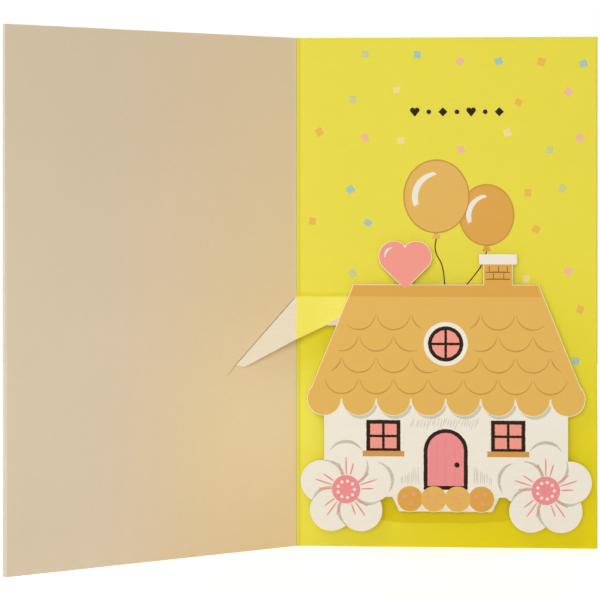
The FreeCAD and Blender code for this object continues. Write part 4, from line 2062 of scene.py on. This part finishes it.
@dataclass(frozen=True)
class Blossoms:
    """The two five-petalled blossoms at the lower corners of the figure.

    Attributes:
        press: where they are printed.
        plan: the figure's sizes.
        step: how much thicker each layer of petals is, in millimetres.
        line: width of the grey crayon line between two petals.
        slide: how far the line's outer curve is slid off the petal's rim, which tapers its ends.
        reach: half the angle of the line's inner and of its outer curve, in degrees.
        ray: width of a pink ray.
        ray_start: where the rays start.
        long_ray: where the middle ray of a petal ends.
        short_ray: where the other two end.
        fan: angle between two rays of a petal, in degrees.
        middle: radius of a blossom's middle.
        stamen: radius of a stamen.
        stamen_ring: how far the stamens stand from the blossom's middle.
        stamens: how many there are.
    """

    press: Press
    plan: HousePlan
    step: float = 0.004
    line: float = 1.1
    slide: float = 2.3
    reach: Point = (54.0, 62.0)
    ray: float = 0.7
    ray_start: float = 5.2
    long_ray: float = 11.2
    short_ray: float = 9.4
    fan: float = 16.0
    middle: float = 4.9
    stamen: float = 0.55
    stamen_ring: float = 2.9
    stamens: int = 9

    def around(self, count: int, radius: float, start: float = 0.0) -> list[Spot]:
        """Place copies evenly round the middle of each blossom.

        Args:
            count: how many copies each blossom has.
            radius: how far they stand from the blossom's middle.
            start: the first copy's angle, in degrees.

        Returns:
            The spots, each turned with its angle.
        """
        spots = []
        for side in (-1, 1):
            for index in range(count):
                angle = start + index * 360.0 / count
                aim = math.radians(angle)
                x = side * self.plan.blossom + radius * math.cos(aim)
                spots.append(Spot(x, self.plan.blossom_height + radius * math.sin(aim), angle))
        return spots

    def crayon(self, toward: float) -> bpy.types.Object:
        """Draw a crayon line along one side of a blossom's top petal.

        Args:
            toward: the angle from the petal's middle to the line's middle, in degrees.

        Returns:
            The flat print, a thin crescent.
        """
        rim = self.plan.petal - self.plan.rim
        aim = math.radians(toward)
        slid = (self.slide * math.cos(aim), self.plan.petal_ring + self.slide * math.sin(aim))
        inner, outer = self.reach
        line = arc((0.0, self.plan.petal_ring), rim, toward - inner, toward + inner, 20)
        line += arc(slid, rim - self.slide + self.line, toward + outer, toward - outer, 20)
        return filled([drawn(line, 71, 0.09)], Level.INSET.value)

    def petals(self) -> list[bpy.types.Object]:
        """Print the petals one over the next, and the crayon lines between them and on the wall.

        Returns:
            The pieces.
        """
        plan = self.plan
        radius = plan.petal - plan.rim
        low = Level.SHAPE.value
        fields = []
        for index, spot in enumerate(self.around(plan.petals, plan.petal_ring, 90.0)):
            layer = index % plan.petals
            fields.append(Spot(spot.x, spot.y, thick=1.0 + layer * self.step / low))
        between = spread(self.crayon(-180.0 / plan.petals), self.around(plan.petals, 0.0))
        on_wall = []
        for side in (-1, 1):
            for turn in (0.0, side * 360.0 / plan.petals):
                on_wall.append(Spot(side * plan.blossom, plan.blossom_height, turn))
        lines = gathered([between, spread(self.crayon(90.0), on_wall)])
        return [
            self.press.lay(spread(disc((radius, radius), low, 48), fields), "petals", CREAM),
            self.press.lay(lines, "petal_lines", CRAYON),
        ]

    def build(self) -> list[bpy.types.Object]:
        """Print the petals, then the rays, the middles and the stamens.

        Returns:
            The pieces.
        """
        rays = []
        for turn, end in ((-self.fan, self.short_ray), (0.0, self.long_ray), (self.fan, self.short_ray)):
            aim = math.radians(turn)
            reach = (self.ray_start, (self.ray_start + end) / 2, end)
            rays.append([(radius * math.cos(aim), radius * math.sin(aim)) for radius in reach])
        fan = stroked(rays, self.ray, Level.DETAIL.value, taper=0.4)
        fans = spread(fan, self.around(self.plan.petals, 0.0, 90.0))
        middles = spread(disc((self.middle, self.middle), Level.DETAIL.value), self.around(1, 0.0))
        stamen = disc((self.stamen, self.stamen), Level.LINE.value, 14)
        dots = spread(stamen, self.around(self.stamens, self.stamen_ring))
        return self.petals() + [
            self.press.lay(fans, "blossom_rays", PINK),
            self.press.lay(middles, "blossom_middles", ROSE),
            self.press.lay(dots, "blossom_stamens", CREAM),
        ]


@dataclass(frozen=True)
class RoofHeart:
    """The pink heart that stands on the ridge.

    Attributes:
        press: where it is printed.
        plan: the figure's sizes.
        shine_radius: radius of its highlight.
        shine: width of its highlight.
        shine_place: how far its highlight lies aside and up, as a share of a lobe's radius.
        cleft_drop: how far the print's cleft lies under the corner of the heart's square.
    """

    press: Press
    plan: HousePlan
    shine_radius: float = 3.1
    shine: float = 1.0
    shine_place: float = 0.72
    cleft_drop: float = 1.12

    def outline(self) -> Outline:
        """Return the heart's outline inside the die-cut edge.

        Returns:
            The outline's points.
        """
        plan = self.plan
        side = plan.heart_lobe * math.sqrt(2.0)
        lobe = plan.heart_lobe - plan.rim
        apart = plan.heart_lobe / math.sqrt(2.0)
        height = plan.heart_middle + apart
        foot = (plan.heart, plan.heart_middle - side + plan.rim * math.sqrt(2.0))
        cleft = (plan.heart, plan.heart_middle + side - self.cleft_drop)
        right = arc((plan.heart + apart, height), lobe, -45.0, 128.0, 18)
        left = arc((plan.heart - apart, height), lobe, 52.0, 225.0, 18)
        return [foot] + right + [cleft] + left

    def build(self) -> list[bpy.types.Object]:
        """Print the heart with its highlight.

        Returns:
            The pieces.
        """
        plan = self.plan
        aside = plan.heart_lobe * self.shine_place
        shine = arc((plan.heart - aside, plan.heart_middle + aside), self.shine_radius, 100.0, 185.0, 8)
        return [
            self.press.lay(filled([self.outline()], Level.PANEL.value), "heart_field", PINK),
            self.press.lay(stroked([shine], self.shine, Level.DETAIL.value, taper=0.4), "heart_shine", CREAM),
        ]


# The photograph's light, ground and view.


@dataclass(frozen=True)
class Lamp:
    """One round soft lamp, aimed at the middle of the card.

    Attributes:
        name: the lamp's name.
        place: where it hangs, in metres.
        size: its width, in metres.
        power: its power, in watts.
        target: where it aims.
        colour: its colour.
    """

    name: str
    place: Place
    size: float
    power: float
    target: Place = (0.02, 0.0, 0.09)
    colour: Place = (1.0, 0.985, 0.96)

    def hang(self) -> None:
        """Hang the lamp."""
        bpy.ops.object.light_add(type="AREA", location=self.place)
        lamp = bpy.context.object
        lamp.name = self.name
        lamp.data.shape = "DISK"
        lamp.data.size = self.size
        lamp.data.energy = self.power
        lamp.data.color = self.colour
        x, y, z = [there - here for here, there in zip(self.place, self.target)]
        lamp.rotation_euler = (math.atan2(math.hypot(x, y), -z), 0.0, math.atan2(y, x) - math.pi / 2)


@dataclass(frozen=True)
class Studio:
    """A plain white floor, soft light and a level camera in front of the card.

    Attributes:
        fill: strength of the even light from all round.
        fill_colour: its colour.
        lamps: the lamps.
        floor_size: side of the floor, in metres.
        floor_colour: the floor's colour.
        floor_rough: its roughness.
        floor_glow: how much white is added to the floor where it is seen as background.
        camera_place: where the camera stands, in metres.
        camera_turn: how far it is turned to the left, in degrees.
        lens: its focal length, in millimetres.
        sensor: width of its sensor, in millimetres.
        rise: how far its lens is shifted up, as a share of the picture.
    """

    fill: float = 0.21
    fill_colour: Place = (1.0, 0.995, 0.985)
    lamps: tuple[Lamp, ...] = (
        Lamp("front_lamp", place=(-0.10, -1.5, 0.30), size=0.9, power=13.4),
        Lamp("key_lamp", place=(-0.44, -0.79, 1.01), size=0.35, power=1.5),
        Lamp("back_lamp", place=(0.25, 1.15, 0.30), size=0.6, power=8.5),
    )
    floor_size: float = 1.2
    floor_colour: Place = (0.9, 0.9, 0.9)
    floor_rough: float = 0.9
    floor_glow: float = 0.6
    camera_place: Place = (0.02561, -0.55666, 0.12272)
    camera_turn: float = 2.497
    lens: float = 95.27
    sensor: float = 36.0
    rise: float = -0.1738

    def white_seen(self, graph: Graph) -> bpy.types.NodeSocket:
        """Find the rays that show a background: straight, mirrored or through glass.

        Args:
            graph: the material's or the world's graph.

        Returns:
            The output that is 1 for such rays.
        """
        path = graph.node("ShaderNodeLightPath")
        seen = graph.maths("MAXIMUM", path.outputs["Is Camera Ray"], path.outputs["Is Glossy Ray"])
        return graph.maths("MAXIMUM", seen, path.outputs["Is Transmission Ray"])

    def build_world(self) -> None:
        """Fill the room with even light, and show it as white."""
        world = bpy.data.worlds.new("studio")
        world.use_nodes = True
        bpy.context.scene.world = world
        graph = Graph(world.node_tree)
        light = graph.node("ShaderNodeBackground")
        light.inputs["Color"].default_value = (*self.fill_colour, 1.0)
        light.inputs["Strength"].default_value = self.fill
        white = graph.node("ShaderNodeBackground")
        white.inputs["Color"].default_value = (1.0, 1.0, 1.0, 1.0)
        white.inputs["Strength"].default_value = 1.0
        both = graph.node("ShaderNodeMixShader")
        graph.feed(both.inputs[0], self.white_seen(graph))
        graph.feed(both.inputs[1], light.outputs[0])
        graph.feed(both.inputs[2], white.outputs[0])
        graph.feed(graph.node("ShaderNodeOutputWorld").inputs["Surface"], both.outputs[0])

    def build_floor(self) -> None:
        """Lay a white floor that keeps the card's shadow."""
        bpy.ops.object.select_all(action="DESELECT")
        bpy.ops.mesh.primitive_plane_add(size=self.floor_size, location=(0.0, 0.0, 0.0))
        floor = bpy.context.object
        floor.name = "floor"
        material = bpy.data.materials.new("floor_white")
        material.use_nodes = True
        graph = Graph(material.node_tree)
        surface = graph.node("ShaderNodeBsdfPrincipled")
        surface.inputs["Base Color"].default_value = (*self.floor_colour, 1.0)
        surface.inputs["Roughness"].default_value = self.floor_rough
        glow = graph.node("ShaderNodeEmission")
        graph.feed(glow.inputs["Strength"], graph.maths("MULTIPLY", self.white_seen(graph), self.floor_glow))
        both = graph.node("ShaderNodeAddShader")
        graph.feed(both.inputs[0], surface.outputs[0])
        graph.feed(both.inputs[1], glow.outputs[0])
        graph.feed(graph.node("ShaderNodeOutputMaterial").inputs["Surface"], both.outputs[0])
        floor.data.materials.append(material)

    def build_camera(self) -> None:
        """Set up the level camera of the photograph."""
        bpy.ops.object.camera_add(location=self.camera_place)
        camera = bpy.context.object
        camera.name = "front_camera"
        camera.rotation_euler = (math.pi / 2, 0.0, math.radians(self.camera_turn))
        camera.data.lens = self.lens
        camera.data.sensor_width = self.sensor
        camera.data.shift_y = self.rise
        camera.data.clip_start = 0.01
        bpy.context.scene.camera = camera

    def build(self) -> None:
        """Set up the whole studio."""
        self.build_world()
        self.build_floor()
        for lamp in self.lamps:
            lamp.hang()
        self.build_camera()
        bpy.context.scene.view_settings.view_transform = "Standard"


def main() -> None:
    """Dress the card, print it, and set up the studio round it."""
    logging.basicConfig(level=logging.INFO, format="%(message)s")
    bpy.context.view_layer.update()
    stock = CardStock()
    finishes: list[Finish] = [
        CoverFinish(stock), PageFinish(stock), StripFinish(stock), SupportFinish(), FigureFinish(),
    ]
    for finish in finishes:
        LOG.info("%s dressed", finish.dress())
    page = Press(0.0, stock.page_face(), 0.0)
    low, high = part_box("figure")
    front = Press((low.x + high.x) / 2 / MM, low.y / MM, low.z / MM)
    plan = HousePlan()
    small = Balloon(
        page, "small_balloon", middle=(66.5, 116.0), radius=9.6, ink=ORANGE, foot=(56.5, 88.0),
        low=Level.GROUND.value,
    )
    large = Balloon(
        page, "large_balloon", middle=(49.0, 122.5), radius=11.5, ink=TAN, foot=(52.0, 88.0),
        low=Level.SHAPE.value,
    )
    prints: list[Print] = [
        Ground(page), Confetti(page), OrnamentRow(page), small, large,
        Wall(front, plan), Roof(front, plan), Chimney(front, plan), Bushes(front, plan),
        Blossoms(front, plan), RoofHeart(front, plan),
    ]
    for motif in prints:
        for piece in motif.build():
            LOG.info("%s printed", piece.name)
    Studio().build()
    LOG.info("studio set up")


if __name__ == "__main__":
    main()
